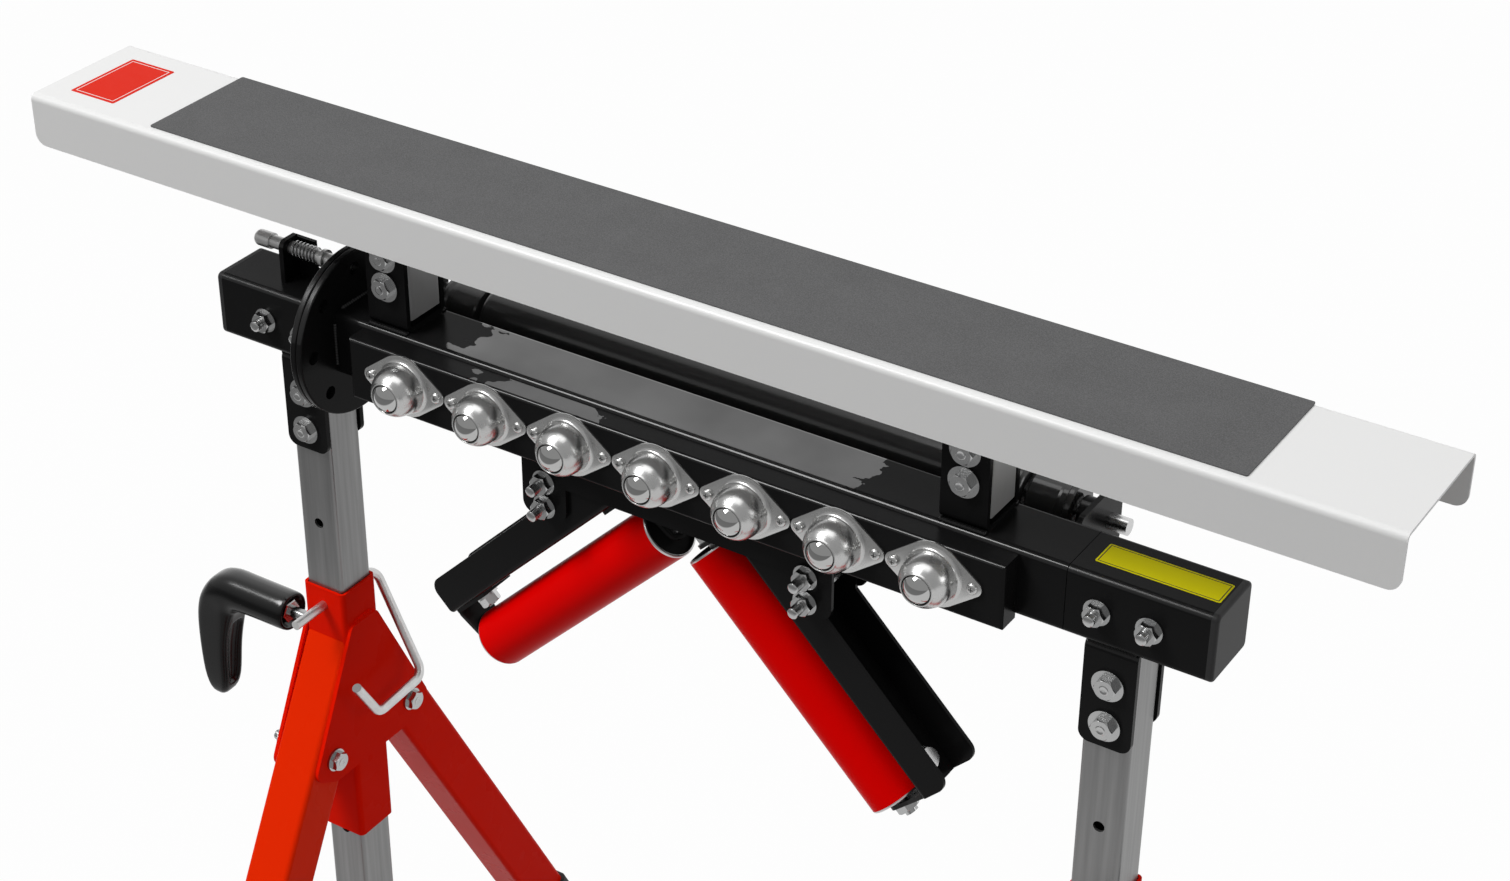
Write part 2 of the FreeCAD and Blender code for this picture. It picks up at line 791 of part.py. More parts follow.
coil_spring = solid(spring())
place(coil_spring, x=f"{HEAD} - ({BRACKET} - bracket_thick - spring_end_play)",
      z=f"{BEAM} + index_radius")
finish(coil_spring, "plunger_spring")


# Head beam with its bushes

beam = tube("x", ("-beam_left", "beam_right"), SIDE, SIDE, "beam_wall", "beam_corner")
finish(place(beam, x=HEAD, z=BEAM), "head_beam")


def bush(span):
    half = ("-stub_side / 2", "stub_side / 2")
    block = rounded(box(span, half, half), size.stub_corner, ("x", {}))
    wide = (f"{span[0]} - overrun", f"{span[1]} + overrun")
    return cut(block, rod("journal_size + 2 * journal_play", "x", wide, ("0", "0")))


bushes = (bush(("-beam_left", "-(beam_left - bush_length)")),
          bush(("beam_right - bush_length", "beam_right")))
finish(place(group(*bushes), x=HEAD, z=BEAM), "pivot_bushes")


# Rail on the front of the beam, open to the beam, that carries the ball units

RAIL_FACE = "-(beam_side / 2 + rail_depth)"
RAIL_TOP = "rail_height / 2 - rail_drop"
RAIL_FOOT = "-(rail_height / 2 + rail_drop)"
rail_skin = rounded(box(("-rail_reach", "rail_reach"), (RAIL_FACE, "-beam_side / 2"), (RAIL_FOOT, RAIL_TOP)),
                    size.rail_edge, ("x", {"y": "low"}), ("z", {"y": "low"}))
rail_hollow = box(("-(rail_reach - rail_wall)", "rail_reach - rail_wall"),
                  (f"{RAIL_FACE} + rail_wall", "-beam_side / 2 + overrun"),
                  (f"{RAIL_FOOT} + rail_wall", f"{RAIL_TOP} - rail_wall"))


def ball_place(number):
    """How far along the head a ball unit sits."""
    return f"({number} - (ball_count - 1) / 2) * ball_pitch"


screw_places = [f"{ball_place(n)} + {side} * screw_pitch / 2"
                for n in range(size.ball_count) for side in (-1, 1)]
rail_holes = [rod("small_screw + 2 * small_screw_play", "y",
                  (f"{RAIL_FACE} - overrun", f"{RAIL_FACE} + rail_wall + overrun"), (x, "-ball_drop"))
              for x in screw_places]
finish(place(cut(rail_skin, rail_hollow, *rail_holes), x=HEAD, z=BEAM), "ball_rail")


# Ball units: a pressed housing screwed to the rail and a steel ball that turns in it


def ball_housing():
    """Drawn along Z from the rail's face: an eyelet flange and a cup round the ball."""
    tip = size.ball_flange_tip
    reach = size.screw_pitch / 2
    flange = hull_plate([(-reach, 0, tip), (0, 0, size.ball_flange_half), (reach, 0, tip),
                         (0, 0, size.ball_flange_half)], size.ball_flange_thick)
    foot = FreeCAD.Vector(size.cup_foot, 0, size.ball_flange_thick)
    waist = FreeCAD.Vector(size.cup_waist, 0, size.cup_waist_rise)
    hollow = size.cup_foot - size.cup_waist
    climb = size.cup_waist_rise - size.ball_flange_thick
    fold = FreeCAD.Vector(size.cup_waist + hollow * (1 - math.sqrt(0.5)), 0,
                          size.cup_waist_rise - climb * math.sqrt(0.5))
    rim = FreeCAD.Vector(size.cup_rim, 0, size.cup_height - size.cup_rim_edge)
    rim_top = FreeCAD.Vector(size.cup_rim - size.cup_rim_edge, 0, size.cup_height)
    edge = size.cup_rim_edge * math.sqrt(0.5)
    rim_middle = FreeCAD.Vector(size.cup_rim - size.cup_rim_edge + edge, 0,
                                size.cup_height - size.cup_rim_edge + edge)
    centre = FreeCAD.Vector(0, 0, size.cup_height)
    base = FreeCAD.Vector(0, 0, 0)
    under = FreeCAD.Vector(size.cup_foot, 0, 0)
    outline = Part.Wire([
        Part.LineSegment(base, under).toShape(),
        Part.LineSegment(under, foot).toShape(),
        Part.Arc(foot, fold, waist).toShape(),
        Part.LineSegment(waist, rim).toShape(),
        Part.Arc(rim, rim_middle, rim_top).toShape(),
        Part.LineSegment(rim_top, centre).toShape(),
        Part.LineSegment(centre, base).toShape(),
    ])
    cup = Part.Face(outline).revolve(FreeCAD.Vector(), PLUS_Z, 2 * half_turn)
    hollow_ball = Part.makeSphere(size.ball_size / 2 + size.ball_play, FreeCAD.Vector(0, 0, size.ball_seat))
    shape = flange.fuse(cup).removeSplitter().cut(hollow_ball)
    for side in (-1, 1):
        hole = Part.makeCylinder(size.small_screw / 2 + size.small_screw_play,
                                 size.ball_flange_thick + 2 * size.overrun,
                                 FreeCAD.Vector(side * reach, 0, -size.overrun))
        shape = shape.cut(hole)
    return shape


def small_screw():
    """A pan-head screw with its seat at the origin."""
    head = Part.makeCylinder(size.small_head / 2, size.small_head_rise)
    rim = [edge for edge in head.Edges if edge.Closed and edge.CenterOfMass.z > 0]
    head = head.makeFillet(size.small_head_rise * size.small_head_round_share, rim)
    stem = Part.makeCylinder(size.small_screw / 2, size.small_screw_length,
                             FreeCAD.Vector(0, 0, -size.small_screw_length))
    return head.fuse(stem)


housing_pattern = solid(ball_housing())
screw_pattern = solid(small_screw())
housings = [copy_at(housing_pattern, "-y", ball_place(n), RAIL_FACE, "-ball_drop")
            for n in range(size.ball_count)]
finish(place(group(*housings), x=HEAD, z=BEAM), "ball_housings")
screws = [copy_at(screw_pattern, "-y", x, f"{RAIL_FACE} - ball_flange_thick", "-ball_drop")
          for x in screw_places]
finish(place(group(*screws), x=HEAD, z=BEAM), "ball_screws")
for number in range(size.ball_count):
    ball = doc.addObject("Part::Sphere", "Ball")
    tie(ball, "Radius", "ball_size / 2")
    place(ball, x=f"{HEAD} + {ball_place(number)}", y=f"{RAIL_FACE} - ball_seat", z=f"{BEAM} - ball_drop")
    finish(ball, f"ball_{number + 1}")


# Table sockets on the beam, posts in them, and the folded sheet table with its mat

TABLE_UNDER = "(table_rise - table_thick)"
POST_FOOT = "beam_side / 2 + post_lift"
sockets = [strap_u(f"{sign} * socket_reach - head_offset", "socket_width", "beam_side / 2",
                   "(beam_side / 2 + socket_rise)", True, SOCKET_BOLTS) for sign in (-1, 1)]
finish(place(group(*sockets), x=HEAD, z=BEAM), "table_sockets")


def table_post(sign):
    middle = f"({sign} * socket_reach - head_offset)"
    skin = tube("z", (f"{middle} - post_side / 2", f"{middle} + post_side / 2"),
                ("-post_side / 2", "post_side / 2"), (POST_FOOT, TABLE_UNDER), "post_wall", "post_corner")
    across = ("-(post_side / 2 + overrun)", "post_side / 2 + overrun")
    holes = [rod("bolt_size + 2 * bolt_play", "y", across, (middle, z)) for z in SOCKET_BOLTS]
    return cut(skin, *holes)


finish(place(group(table_post(-1), table_post(1)), x=HEAD, z=BEAM), "table_posts")

TABLE_X = ("-table_length / 2", "table_length / 2")
TABLE_Z = ("table_rise - table_flange", "table_rise")
folded = rounded(box(TABLE_X, ("-table_width / 2", "table_width / 2"), TABLE_Z), size.table_bend,
                 ("x", {"z": "high"}))
under = rounded(box(("-(table_length / 2 + overrun)", "table_length / 2 + overrun"),
                    ("-(table_width / 2 - table_thick)", "table_width / 2 - table_thick"),
                    ("table_rise - table_flange - overrun", TABLE_UNDER)),
                size.table_bend - size.table_thick, ("x", {"z": "high"}))
table = rounded(cut(folded, under), size.table_corner, ("y", {"x": "low", "z": "low"}),
                ("y", {"x": "high", "z": "low"}))
finish(place(table, z=BEAM), "table_top")
mat = rounded(box(("-mat_left", "mat_right"), ("-(mat_width / 2 - mat_shift)", "mat_width / 2 + mat_shift"),
                  ("table_rise", "table_rise + mat_thick")), size.mat_corner, ("z", {}))
finish(place(mat, z=BEAM), "table_mat")


# Hanger under the beam that carries the two V arms

HANGER_TOP = "-beam_side / 2"
INNER = "hanger_inner / 2"
OUTER = "(hanger_inner / 2 + hanger_thick)"
hanger_web = box(("-hanger_reach", "hanger_reach"), (f"-{OUTER}", OUTER),
                 (f"{HANGER_TOP} - hanger_thick", HANGER_TOP))
hanger_pieces = [hanger_web]
for side in (-1, 1):
    y = (f"-{OUTER}", f"-{INNER}") if side < 0 else (INNER, OUTER)
    hanger_pieces.append(box(("-hanger_reach", "hanger_reach"), y,
                             (f"{HANGER_TOP} - hanger_fall", HANGER_TOP)))
    for x in (("-hanger_reach", "-(hanger_reach - ear_width)"), ("hanger_reach - ear_width", "hanger_reach")):
        hanger_pieces.append(rounded(box(x, y, (f"{HANGER_TOP} - ear_fall", HANGER_TOP)), size.ear_corner,
                                     ("y", {"z": "low"})))
hanger_holes = []
through = (f"-({OUTER} + overrun)", f"{OUTER} + overrun")
for sign in (-1, 1):
    for drop in ("arm_pivot_drop", "arm_pivot_drop + lock_bolt_drop"):
        hanger_holes.append(rod("bolt_size + 2 * bolt_play", "y", through,
                                (f"{sign} * arm_pivot_reach", f"-({drop})")))
finish(place(cut(fuse(*hanger_pieces), *hanger_holes), x=HEAD, z=BEAM), "hanger_bracket")

head_fasteners = []
for sign in (-1, 1):
    for z in SOCKET_BOLTS:
        x = f"{sign} * socket_reach - head_offset"
        head_fasteners.append(copy_at(saddle_bolt, "-y", x, FRONT_SADDLE, z))
        head_fasteners.append(copy_at(plain_nut, "y", x, BACK_SADDLE, z))
    for drop in ("arm_pivot_drop", "arm_pivot_drop + lock_bolt_drop"):
        x = f"{sign} * arm_pivot_reach"
        head_fasteners.append(copy_at(hanger_bolt, "y", x, OUTER, f"-({drop})"))
        head_fasteners.append(copy_at(small_nut, "-y", x, f"-{OUTER}", f"-({drop})"))
finish(place(group(*head_fasteners), x=HEAD, z=BEAM), "head_fasteners")


# V arms: channels drawn along X from their pivot, with Z square to the arm


def lock_slot():
    """The curved slot that the lower bolt runs in while the arm swings."""
    radius = size.lock_bolt_drop
    half = size.bolt_size / 2 + size.slot_play
    first = math.radians(-size.arm_angle)
    last = math.radians(-(size.arm_angle + size.arm_travel))
    middle = (first + last) / 2

    def at(distance, angle):
        return FreeCAD.Vector(distance * math.cos(angle), 0, distance * math.sin(angle))

    def past(angle, way):
        return at(radius, angle) + FreeCAD.Vector(math.sin(angle), 0, -math.cos(angle)) * (half * way)

    outline = Part.Wire([
        Part.Arc(at(radius + half, first), at(radius + half, middle), at(radius + half, last)).toShape(),
        Part.Arc(at(radius + half, last), past(last, 1), at(radius - half, last)).toShape(),
        Part.Arc(at(radius - half, last), at(radius - half, middle), at(radius - half, first)).toShape(),
        Part.Arc(at(radius - half, first), past(first, -1), at(radius + half, first)).toShape(),
    ])
    face = Part.Face(outline)
    face.translate(FreeCAD.Vector(0, -size.arm_width, 0))
    return solid(face.extrude(FreeCAD.Vector(0, 2 * size.arm_width, 0)))


def lobe(side):
    """A rounded plate on the arm's flange, round the pivot bolt."""
    root = size.lobe_root_reach
    low = size.arm_edge_drop + size.arm_thick
    circles = [(0, 0, size.lobe_size / 2), (-root, -low, size.arm_thick), (root, -low, size.arm_thick)]
    plate = hull_plate(circles, size.arm_thick)
    plate.rotate(FreeCAD.Vector(), PLUS_X, quarter_turn)
    outer = size.arm_width / 2
    plate.translate(FreeCAD.Vector(0, outer if side > 0 else size.arm_thick - outer, 0))
    return solid(plate)


def v_arm():
    x = ("-arm_near_reach", "arm_far_reach")
    outer = rounded(box(x, ("-arm_width / 2", "arm_width / 2"), ("-arm_web_drop", "-arm_edge_drop")),
                    size.arm_bend, ("x", {"z": "low"}))
    inner = box(("-(arm_near_reach + overrun)", "arm_far_reach + overrun"),
                ("-(arm_width / 2 - arm_thick)", "arm_width / 2 - arm_thick"),
                ("-(arm_web_drop - arm_thick)", "-(arm_edge_drop - overrun)"))
    channel = rounded(cut(outer, inner), size.arm_corner, ("y", {"x": "high", "z": "high"}),
                      ("y", {"x": "low", "z": "high"}))
    across = ("-(arm_width / 2 + overrun)", "arm_width / 2 + overrun")
    holes = [rod("bolt_size + 2 * pivot_play", "y", across, ("0", "0")), lock_slot()]
    for x in TROUGH_BOLTS:
        holes.append(rod("bolt_size + 2 * bolt_play", "z",
                         ("-(arm_web_drop + overrun)", "-(arm_web_drop - arm_thick - overrun)"), (x, "0")))
    return cut(fuse(channel, lobe(-1), lobe(1)), *holes)


NEAR_STRAP = "-(roller_near_reach + roller_end_gap + strap_thick)"
FAR_STRAP = "(v_roller_length - roller_near_reach + roller_end_gap)"
TROUGH_BOLTS = (f"{NEAR_STRAP} + trough_bolt_inset", f"{FAR_STRAP} + strap_thick - trough_bolt_inset")
STRAP_SEAT = "-(arm_web_drop + strap_thick)"


def strap_end(start):
    """The leg of a bracket that stands square to the arm and holds the axle."""
    half = size.strap_width / 2 - size.strap_corner
    top = -(size.arm_web_drop + size.strap_corner)
    circles = [(half, top, size.strap_corner), (-half, top, size.strap_corner),
               (0, -size.roller_drop, size.strap_tip)]
    plate = hull_plate(circles, size.strap_thick)
    plate.rotate(FreeCAD.Vector(), FreeCAD.Vector(1, 1, 1), 2 * half_turn / 3)
    return place(solid(plate), x=start)


def roller_strap(start, leg):
    hole_span = (f"{start} - overrun", f"{start} + strap_thick + overrun")
    flat = box(leg, ("-strap_width / 2", "strap_width / 2"), (STRAP_SEAT, "-arm_web_drop"))
    axle_hole = rod("axle_size + 2 * axle_play", "x", hole_span, ("0", "-roller_drop"))
    bolt_x = TROUGH_BOLTS[0] if start == NEAR_STRAP else TROUGH_BOLTS[1]
    bolt_hole = rod("bolt_size + 2 * bolt_play", "z",
                    (f"{STRAP_SEAT} - overrun", "-(arm_web_drop - overrun)"), (bolt_x, "0"))
    return cut(fuse(strap_end(start), flat), axle_hole, bolt_hole)


def on_arm(item):
    """The right-hand piece swung to its angle about the arm's pivot."""
    turned(item, PLUS_Y, "arm_angle")
    return place(item, x=f"{HEAD} + arm_pivot_reach", z=f"{BEAM} - arm_pivot_drop")


def both_sides(item, node):
    finish(item, f"{node}_right")
    finish(mirrored(item), f"{node}_left")


both_sides(on_arm(v_arm()), "v_arm")
straps = [roller_strap(NEAR_STRAP, (NEAR_STRAP, f"{NEAR_STRAP} + strap_leg")),
          roller_strap(FAR_STRAP, (f"{FAR_STRAP} + strap_thick - strap_leg", f"{FAR_STRAP} + strap_thick"))]
for x in TROUGH_BOLTS:
    straps.append(copy_at(trough_bolt, "z", x, "0", "-(arm_web_drop - arm_thick)"))
flipped = solid(small_nut.Shape.copy().mirror(FreeCAD.Vector(), PLUS_Z))
for x in TROUGH_BOLTS:
    straps.append(copy_at(flipped, "z", x, "0", STRAP_SEAT))
both_sides(on_arm(group(*straps)), "v_roller_bracket")


# V rollers: a red tube with set-in ends that turns on a bolted axle


def roller(diameter, span, at, bore, edge, face):
    """A hollow roller along X with a disc in each end, set in by some depth."""
    start, end = span
    skin = rod(diameter, "x", span, at)
    doc.recompute()
    rims = [n for n, one in enumerate(skin.Shape.Edges, 1) if one.Closed]
    soft = doc.addObject("Part::Fillet", "SoftRoller")
    soft.Base = skin
    soft.Edges = [(n, edge, edge) for n in rims]
    inner = f"{diameter} - 2 * roller_wall"
    core = rod(inner, "x", (f"{start} + {face} + roller_end_thick", f"{end} - {face} - roller_end_thick"), at)
    hole = rod(bore, "x", (f"{start} - overrun", f"{end} + overrun"), at)
    if face == "0":
        return cut(soft, core, hole)
    near = rod(inner, "x", (f"{start} - overrun", f"{start} + {face}"), at)
    far = rod(inner, "x", (f"{end} - {face}", f"{end} + overrun"), at)
    return cut(soft, near, far, core, hole)


V_SPAN = ("-roller_near_reach", "v_roller_length - roller_near_reach")
v_roller = roller("roller_size", V_SPAN, ("0", "-roller_drop"), "axle_size + 2 * axle_play",
                  size.roller_edge, "roller_recess")
both_sides(on_arm(v_roller), "v_roller")


def bored_nut(flats, thick, bore):
    """A plain nut without a washer."""
    hole = rod(f"{bore} + 2 * thread_play", "z", ("-overrun", f"{thick} + overrun"), ("0", "0"))
    return cut(hexagon(flats, "0", thick), hole)


plain_axle_nut = bored_nut("axle_nut_flats", "axle_nut_thick", "axle_size")
doc.recompute()
axle = rod("axle_size", "x", (f"{NEAR_STRAP} - axle_overhang", f"{FAR_STRAP} + strap_thick + axle_overhang"),
           ("0", "-roller_drop"))
near_nut = copy_at(plain_axle_nut, "-x", NEAR_STRAP, "0", "-roller_drop")
far_nut = copy_at(plain_axle_nut, "x", f"{FAR_STRAP} + strap_thick", "0", "-roller_drop")
both_sides(on_arm(group(axle, near_nut, far_nut)), "v_axle")


# Rear roller on two plates behind the beam

REAR_AT = ("rear_roller_back", "0")


def rear_plate(sign):
    half = size.rear_plate_half
    corner = size.saddle_corner
    near = size.beam_side / 2
    back = size.rear_roller_back + size.rear_plate_back
    circles = [(near + corner, -(half - corner), corner), (back - corner, -(half - corner), corner),
               (back - corner, half - corner, corner), (near + corner, half - corner, corner)]
    plate = hull_plate(circles, size.rear_plate_thick)
    plate.rotate(FreeCAD.Vector(), FreeCAD.Vector(1, 1, 1), 2 * half_turn / 3)
    start = "rear_plate_start" if sign > 0 else "-(rear_plate_start + rear_plate_thick)"
    placed = place(solid(plate), x=start)
    inside = ("rear_boss_start", "rear_plate_start")
    hole_span = ("rear_boss_start - overrun", "rear_plate_start + rear_plate_thick + overrun")
    if sign < 0:
        inside = ("-rear_plate_start", "-rear_boss_start")
        hole_span = (f"-({hole_span[1]})", f"-({hole_span[0]})")
    boss = rod("rear_boss_size", "x", inside, REAR_AT)
    return cut(fuse(placed, boss), rod("rear_axle_size + 2 * axle_play", "x", hole_span, REAR_AT))


finish(place(group(rear_plate(-1), rear_plate(1)), x=HEAD, z=BEAM), "rear_roller_brackets")
rear_axle = fuse(
    rod("rear_axle_size", "x", ("-rear_axle_left", "rear_axle_right"), REAR_AT),
    rod("rear_spacer_size", "x", ("-rear_spacer_end", "-rear_spacer_start"), REAR_AT),
    rod("rear_spacer_size", "x", ("rear_spacer_start", "rear_spacer_end"), REAR_AT),
)
finish(place(rear_axle, x=HEAD, z=BEAM), "rear_roller_axle")
rear_roller = roller("roller_size", ("-rear_roller_reach", "rear_roller_reach"), REAR_AT,
                     "rear_axle_size + 2 * axle_play", size.rear_roller_edge, "0")
finish(place(rear_roller, x=HEAD, z=BEAM), "rear_roller")


# Sleeves with their gusset plates, drawn round the leg pivots of the right-hand set

MIDDLE = "leg_reach"
PLATE_FACE = "(sleeve_side / 2 + gusset_thick)"


def gusset(start):
    top = size.gusset_top - size.gusset_top_corner
    top_half = size.gusset_top_half - size.gusset_top_corner
    side = size.gusset_half - size.gusset_side_corner
    foot = -(size.gusset_fall - size.gusset_foot_corner)
    foot_half = size.gusset_foot_half - size.gusset_foot_corner
    rise = size.gusset_fall - size.gusset_foot_corner - size.gusset_side_corner
    circles = [(-foot_half, foot, size.gusset_foot_corner), (foot_half, foot, size.gusset_foot_corner),
               (side, -rise, size.gusset_side_corner), (top_half, top, size.gusset_top_corner),
               (-top_half, top, size.gusset_top_corner), (-side, -rise, size.gusset_side_corner)]
    plate = hull_plate(circles, size.gusset_thick)
    plate.rotate(FreeCAD.Vector(), FreeCAD.Vector(1, 1, 1), 2 * half_turn / 3)
    return place(solid(plate), x=start)


def sleeve():
    skin = tube("z", (f"{MIDDLE} - sleeve_side / 2", f"{MIDDLE} + sleeve_side / 2"),
                ("-sleeve_side / 2", "sleeve_side / 2"), ("-sleeve_fall", "sleeve_rise"),
                "sleeve_wall", "sleeve_corner")
    plates = (gusset(f"{MIDDLE} - sleeve_side / 2 - gusset_thick"), gusset(f"{MIDDLE} + sleeve_side / 2"))
    across_x = (f"{MIDDLE} - {PLATE_FACE} - overrun", f"{MIDDLE} + {PLATE_FACE} + overrun")
    across_y = ("-(sleeve_side / 2 + overrun)", "sleeve_side / 2 + overrun")
    holes = [rod("bolt_size + 2 * bolt_play", "x", across_x, (f"{side} * pivot_reach", "0"))
             for side in (-1, 1)]
    holes.append(rod("pin_size + 2 * pin_play", "y", across_y, (MIDDLE, "pin_above_pivot")))
    holes.append(rod("screw_size + 2 * thread_play", "x", (MIDDLE, f"{MIDDLE} + {PLATE_FACE} + overrun"),
                     ("0", "clamp_rise")))
    return cut(fuse(skin, *plates), *holes)


def on_leg(item):
    return place(item, x=HEAD, z=PIVOT)


both_sides(on_leg(sleeve()), "sleeve")
pivots = []
for side in (-1, 1):
    pivots.append(copy_at(pivot_bolt, "-x", f"{MIDDLE} - {PLATE_FACE}", f"{side} * pivot_reach", "0"))
    pivots.append(copy_at(small_nut, "x", f"{MIDDLE} + {PLATE_FACE}", f"{side} * pivot_reach", "0"))
clamp_nut = bored_nut("clamp_nut_flats", "clamp_nut_thick", "screw_size")
doc.recompute()
pivots.append(copy_at(clamp_nut, "x", f"{MIDDLE} + {PLATE_FACE}", "0", "clamp_rise"))
both_sides(on_leg(group(*pivots)), "sleeve_fasteners")


# Clamp screws with a nut welded to the plate, and the handles that turn them

CLAMP_AT = ("0", "clamp_rise")
BOSS_START = f"({MIDDLE} + {PLATE_FACE} + boss_start)"
BOSS_END = f"({BOSS_START} + boss_length)"
screw_low = f"{MIDDLE} + post_side / 2 + screw_tip_play"
clamp_screw = rod("screw_size", "x", (screw_low, f"{BOSS_START} + boss_socket"), CLAMP_AT)
both_sides(on_leg(group(clamp_screw)), "clamp_screw")


# the lever's outline, as shares of how far it reaches out and how far it hangs down
LEVER_SHARES = ((0.55, -0.106), (0.92, 0.11), (1, 0.45), (1, 0.8), (0.77, 1), (0.48, 0.85), (0.48, 0.55),
                (0.32, 0.32), (0.17, 0.17))


def handle_lever():
    """The hanging lever, drawn in the XZ plane from the end of the boss."""
    start = size.leg_reach + size.sleeve_side / 2 + size.gusset_thick + size.boss_start + size.boss_length
    root = size.boss_size / 2 * size.lever_start_share
    lead = size.boss_length / 4

    def at(across, down):
        return FreeCAD.Vector(start + across, 0, size.clamp_rise - down)

    turns = [at(0, -root)] + [at(a * size.handle_reach, b * size.handle_drop) for a, b in LEVER_SHARES]
    turns.append(at(0, root))
    edges = [Part.Arc(*turns[n:n + 3]).toShape() for n in range(0, len(turns) - 2, 2)]
    inner = [turns[-1], at(-lead, root), at(-lead, -root), turns[0]]
    edges += [Part.LineSegment(a, b).toShape() for a, b in zip(inner, inner[1:])]
    face = Part.Face(Part.Wire(edges))
    face.translate(FreeCAD.Vector(0, -size.handle_width / 2, 0))
    return solid(face.extrude(FreeCAD.Vector(0, size.handle_width, 0)))


boss = rod("boss_size", "x", (BOSS_START, BOSS_END), CLAMP_AT)
socket = rod("screw_size + 2 * thread_play", "x", (f"{BOSS_START} - overrun", f"{BOSS_START} + boss_socket"),
             CLAMP_AT)
both_sides(on_leg(cut(fuse(boss, handle_lever()), socket)), "clamp_handle")


# Locking pins: one bent wire each, pushed through sleeve and tube from the back


def locking_pin():
    middle = size.leg_reach
    inner = middle - size.pin_side_reach
    rise = size.pin_above_pivot
    low = rise - size.pin_drop
    back = size.pin_back_reach
    turn = back - size.pin_return_length
    points = [
        FreeCAD.Vector(middle, -size.pin_front_reach, rise),
        FreeCAD.Vector(middle, back, rise),
        FreeCAD.Vector(inner, back, low),
        FreeCAD.Vector(inner, turn, low - size.pin_run_drop),
        FreeCAD.Vector(inner, turn - size.pin_tip_reach, low - size.pin_run_drop + size.pin_tip_height),
    ]
    return solid(wire_solid(round_path(points, size.pin_bend_radius), size.pin_size))


both_sides(on_leg(locking_pin()), "locking_pin")


# Folding legs with rubber feet, drawn straight down from the pivot and swung out

LEG_X = (f"{MIDDLE} - (sleeve_side / 2 - leg_play)", f"{MIDDLE} + (sleeve_side / 2 - leg_play)")
LEG_LENGTH = "((pivot_height - foot_sole - sleeve_side / 2 * sin(leg_angle)) / cos(leg_angle))"
LEG_Y = ("-sleeve_side / 2", "sleeve_side / 2")


def swung(item, side):
    """Swung outwards to its stop on the front (-1) or back (1) side."""
    turned(item, PLUS_X, f"{side} * leg_angle")
    return place(item, y=f"{side} * pivot_reach")


def leg(side):
    top = "leg_top_reach" if side < 0 else "back_leg_top_reach"
    skin = tube("z", LEG_X, LEG_Y, (f"-{LEG_LENGTH}", top), "leg_wall", "leg_corner")
    wide = (f"{LEG_X[0]} - overrun", f"{LEG_X[1]} + overrun")
    hole = rod("bolt_size + 2 * pivot_play", "x", wide, ("0", "0"))
    tilted = swung(cut(skin, hole), side)
    near = "-(sleeve_side / 2 + leg_play)"
    far = "sleeve_side / 2 + leg_play"
    beyond = "pivot_reach + sleeve_side"
    keep_off = (near, beyond) if side < 0 else (f"-({beyond})", far)
    mitre = box(wide, keep_off, ("-pivot_height", "gusset_top * 2"))
    return cut(tilted, mitre)


def foot(side):
    x = (f"{LEG_X[0]} - foot_wall", f"{LEG_X[1]} + foot_wall")
    y = (f"{LEG_Y[0]} - foot_wall", f"{LEG_Y[1]} + foot_wall")
    block = rounded(box(x, y, (f"-({LEG_LENGTH} + foot_cover)", f"-({LEG_LENGTH} - foot_cover)")),
                    size.foot_corner, ("z", {}))
    pocket = rounded(box(LEG_X, LEG_Y, (f"-{LEG_LENGTH}", f"-({LEG_LENGTH} - foot_cover - overrun)")),
                     size.leg_corner, ("z", {}))
    shoe = swung(cut(block, pocket), side)
    floor = box((f"{x[0]} - overrun", f"{x[1]} + overrun"), ("-leg_reach", "leg_reach"),
                ("-(pivot_height + leg_reach)", "-pivot_height"))
    return cut(shoe, floor)


for side, name in ((-1, "front"), (1, "back")):
    both_sides(on_leg(leg(side)), f"leg_{name}")
    both_sides(on_leg(foot(side)), f"foot_{name}")


# Check every object, then write each sub-part

doc.recompute()
broken = [item.Name for item in doc.Objects if {"Invalid", "Error"} & set(item.State)]
if broken:
    raise RuntimeError(f"objects that failed: {broken}")
for item in sub_parts:
    if item.Shape.isNull() or not item.Shape.isValid() or not item.Shape.Solids:
        raise RuntimeError(f"{item.Label} has no valid solid")
os.makedirs("parts", exist_ok=True)
for item in sub_parts:
    item.Shape.exportStep(f"parts/{item.Label}.step")
print(len(sub_parts), "sub-parts written")
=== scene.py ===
import math

import bpy
from mathutils import Euler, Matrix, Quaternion, Vector


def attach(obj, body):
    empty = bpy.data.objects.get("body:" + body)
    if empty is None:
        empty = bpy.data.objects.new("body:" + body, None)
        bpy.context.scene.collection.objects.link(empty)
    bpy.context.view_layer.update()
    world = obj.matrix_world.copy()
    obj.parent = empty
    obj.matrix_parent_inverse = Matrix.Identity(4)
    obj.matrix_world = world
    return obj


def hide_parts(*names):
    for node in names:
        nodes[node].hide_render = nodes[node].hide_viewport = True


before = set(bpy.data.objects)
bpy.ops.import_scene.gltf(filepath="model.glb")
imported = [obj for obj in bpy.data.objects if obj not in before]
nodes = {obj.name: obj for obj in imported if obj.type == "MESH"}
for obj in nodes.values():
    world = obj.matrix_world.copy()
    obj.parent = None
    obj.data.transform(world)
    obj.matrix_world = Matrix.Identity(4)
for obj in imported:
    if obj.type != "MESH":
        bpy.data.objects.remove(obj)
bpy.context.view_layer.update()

bpy.ops.object.select_all(action="DESELECT")


# The camera stands in front of the right half, well above the table, and looks down along
# the head as the photograph does. Its place and angles come from the straight edges of the
# table, beam and posts there.

camera_place = (0.95057, -1.39829, 1.80572)
camera_azimuth = 32.405
camera_elevation = 31.747
camera_roll = 0.408
camera_lens = 68.698
camera_sensor = 36

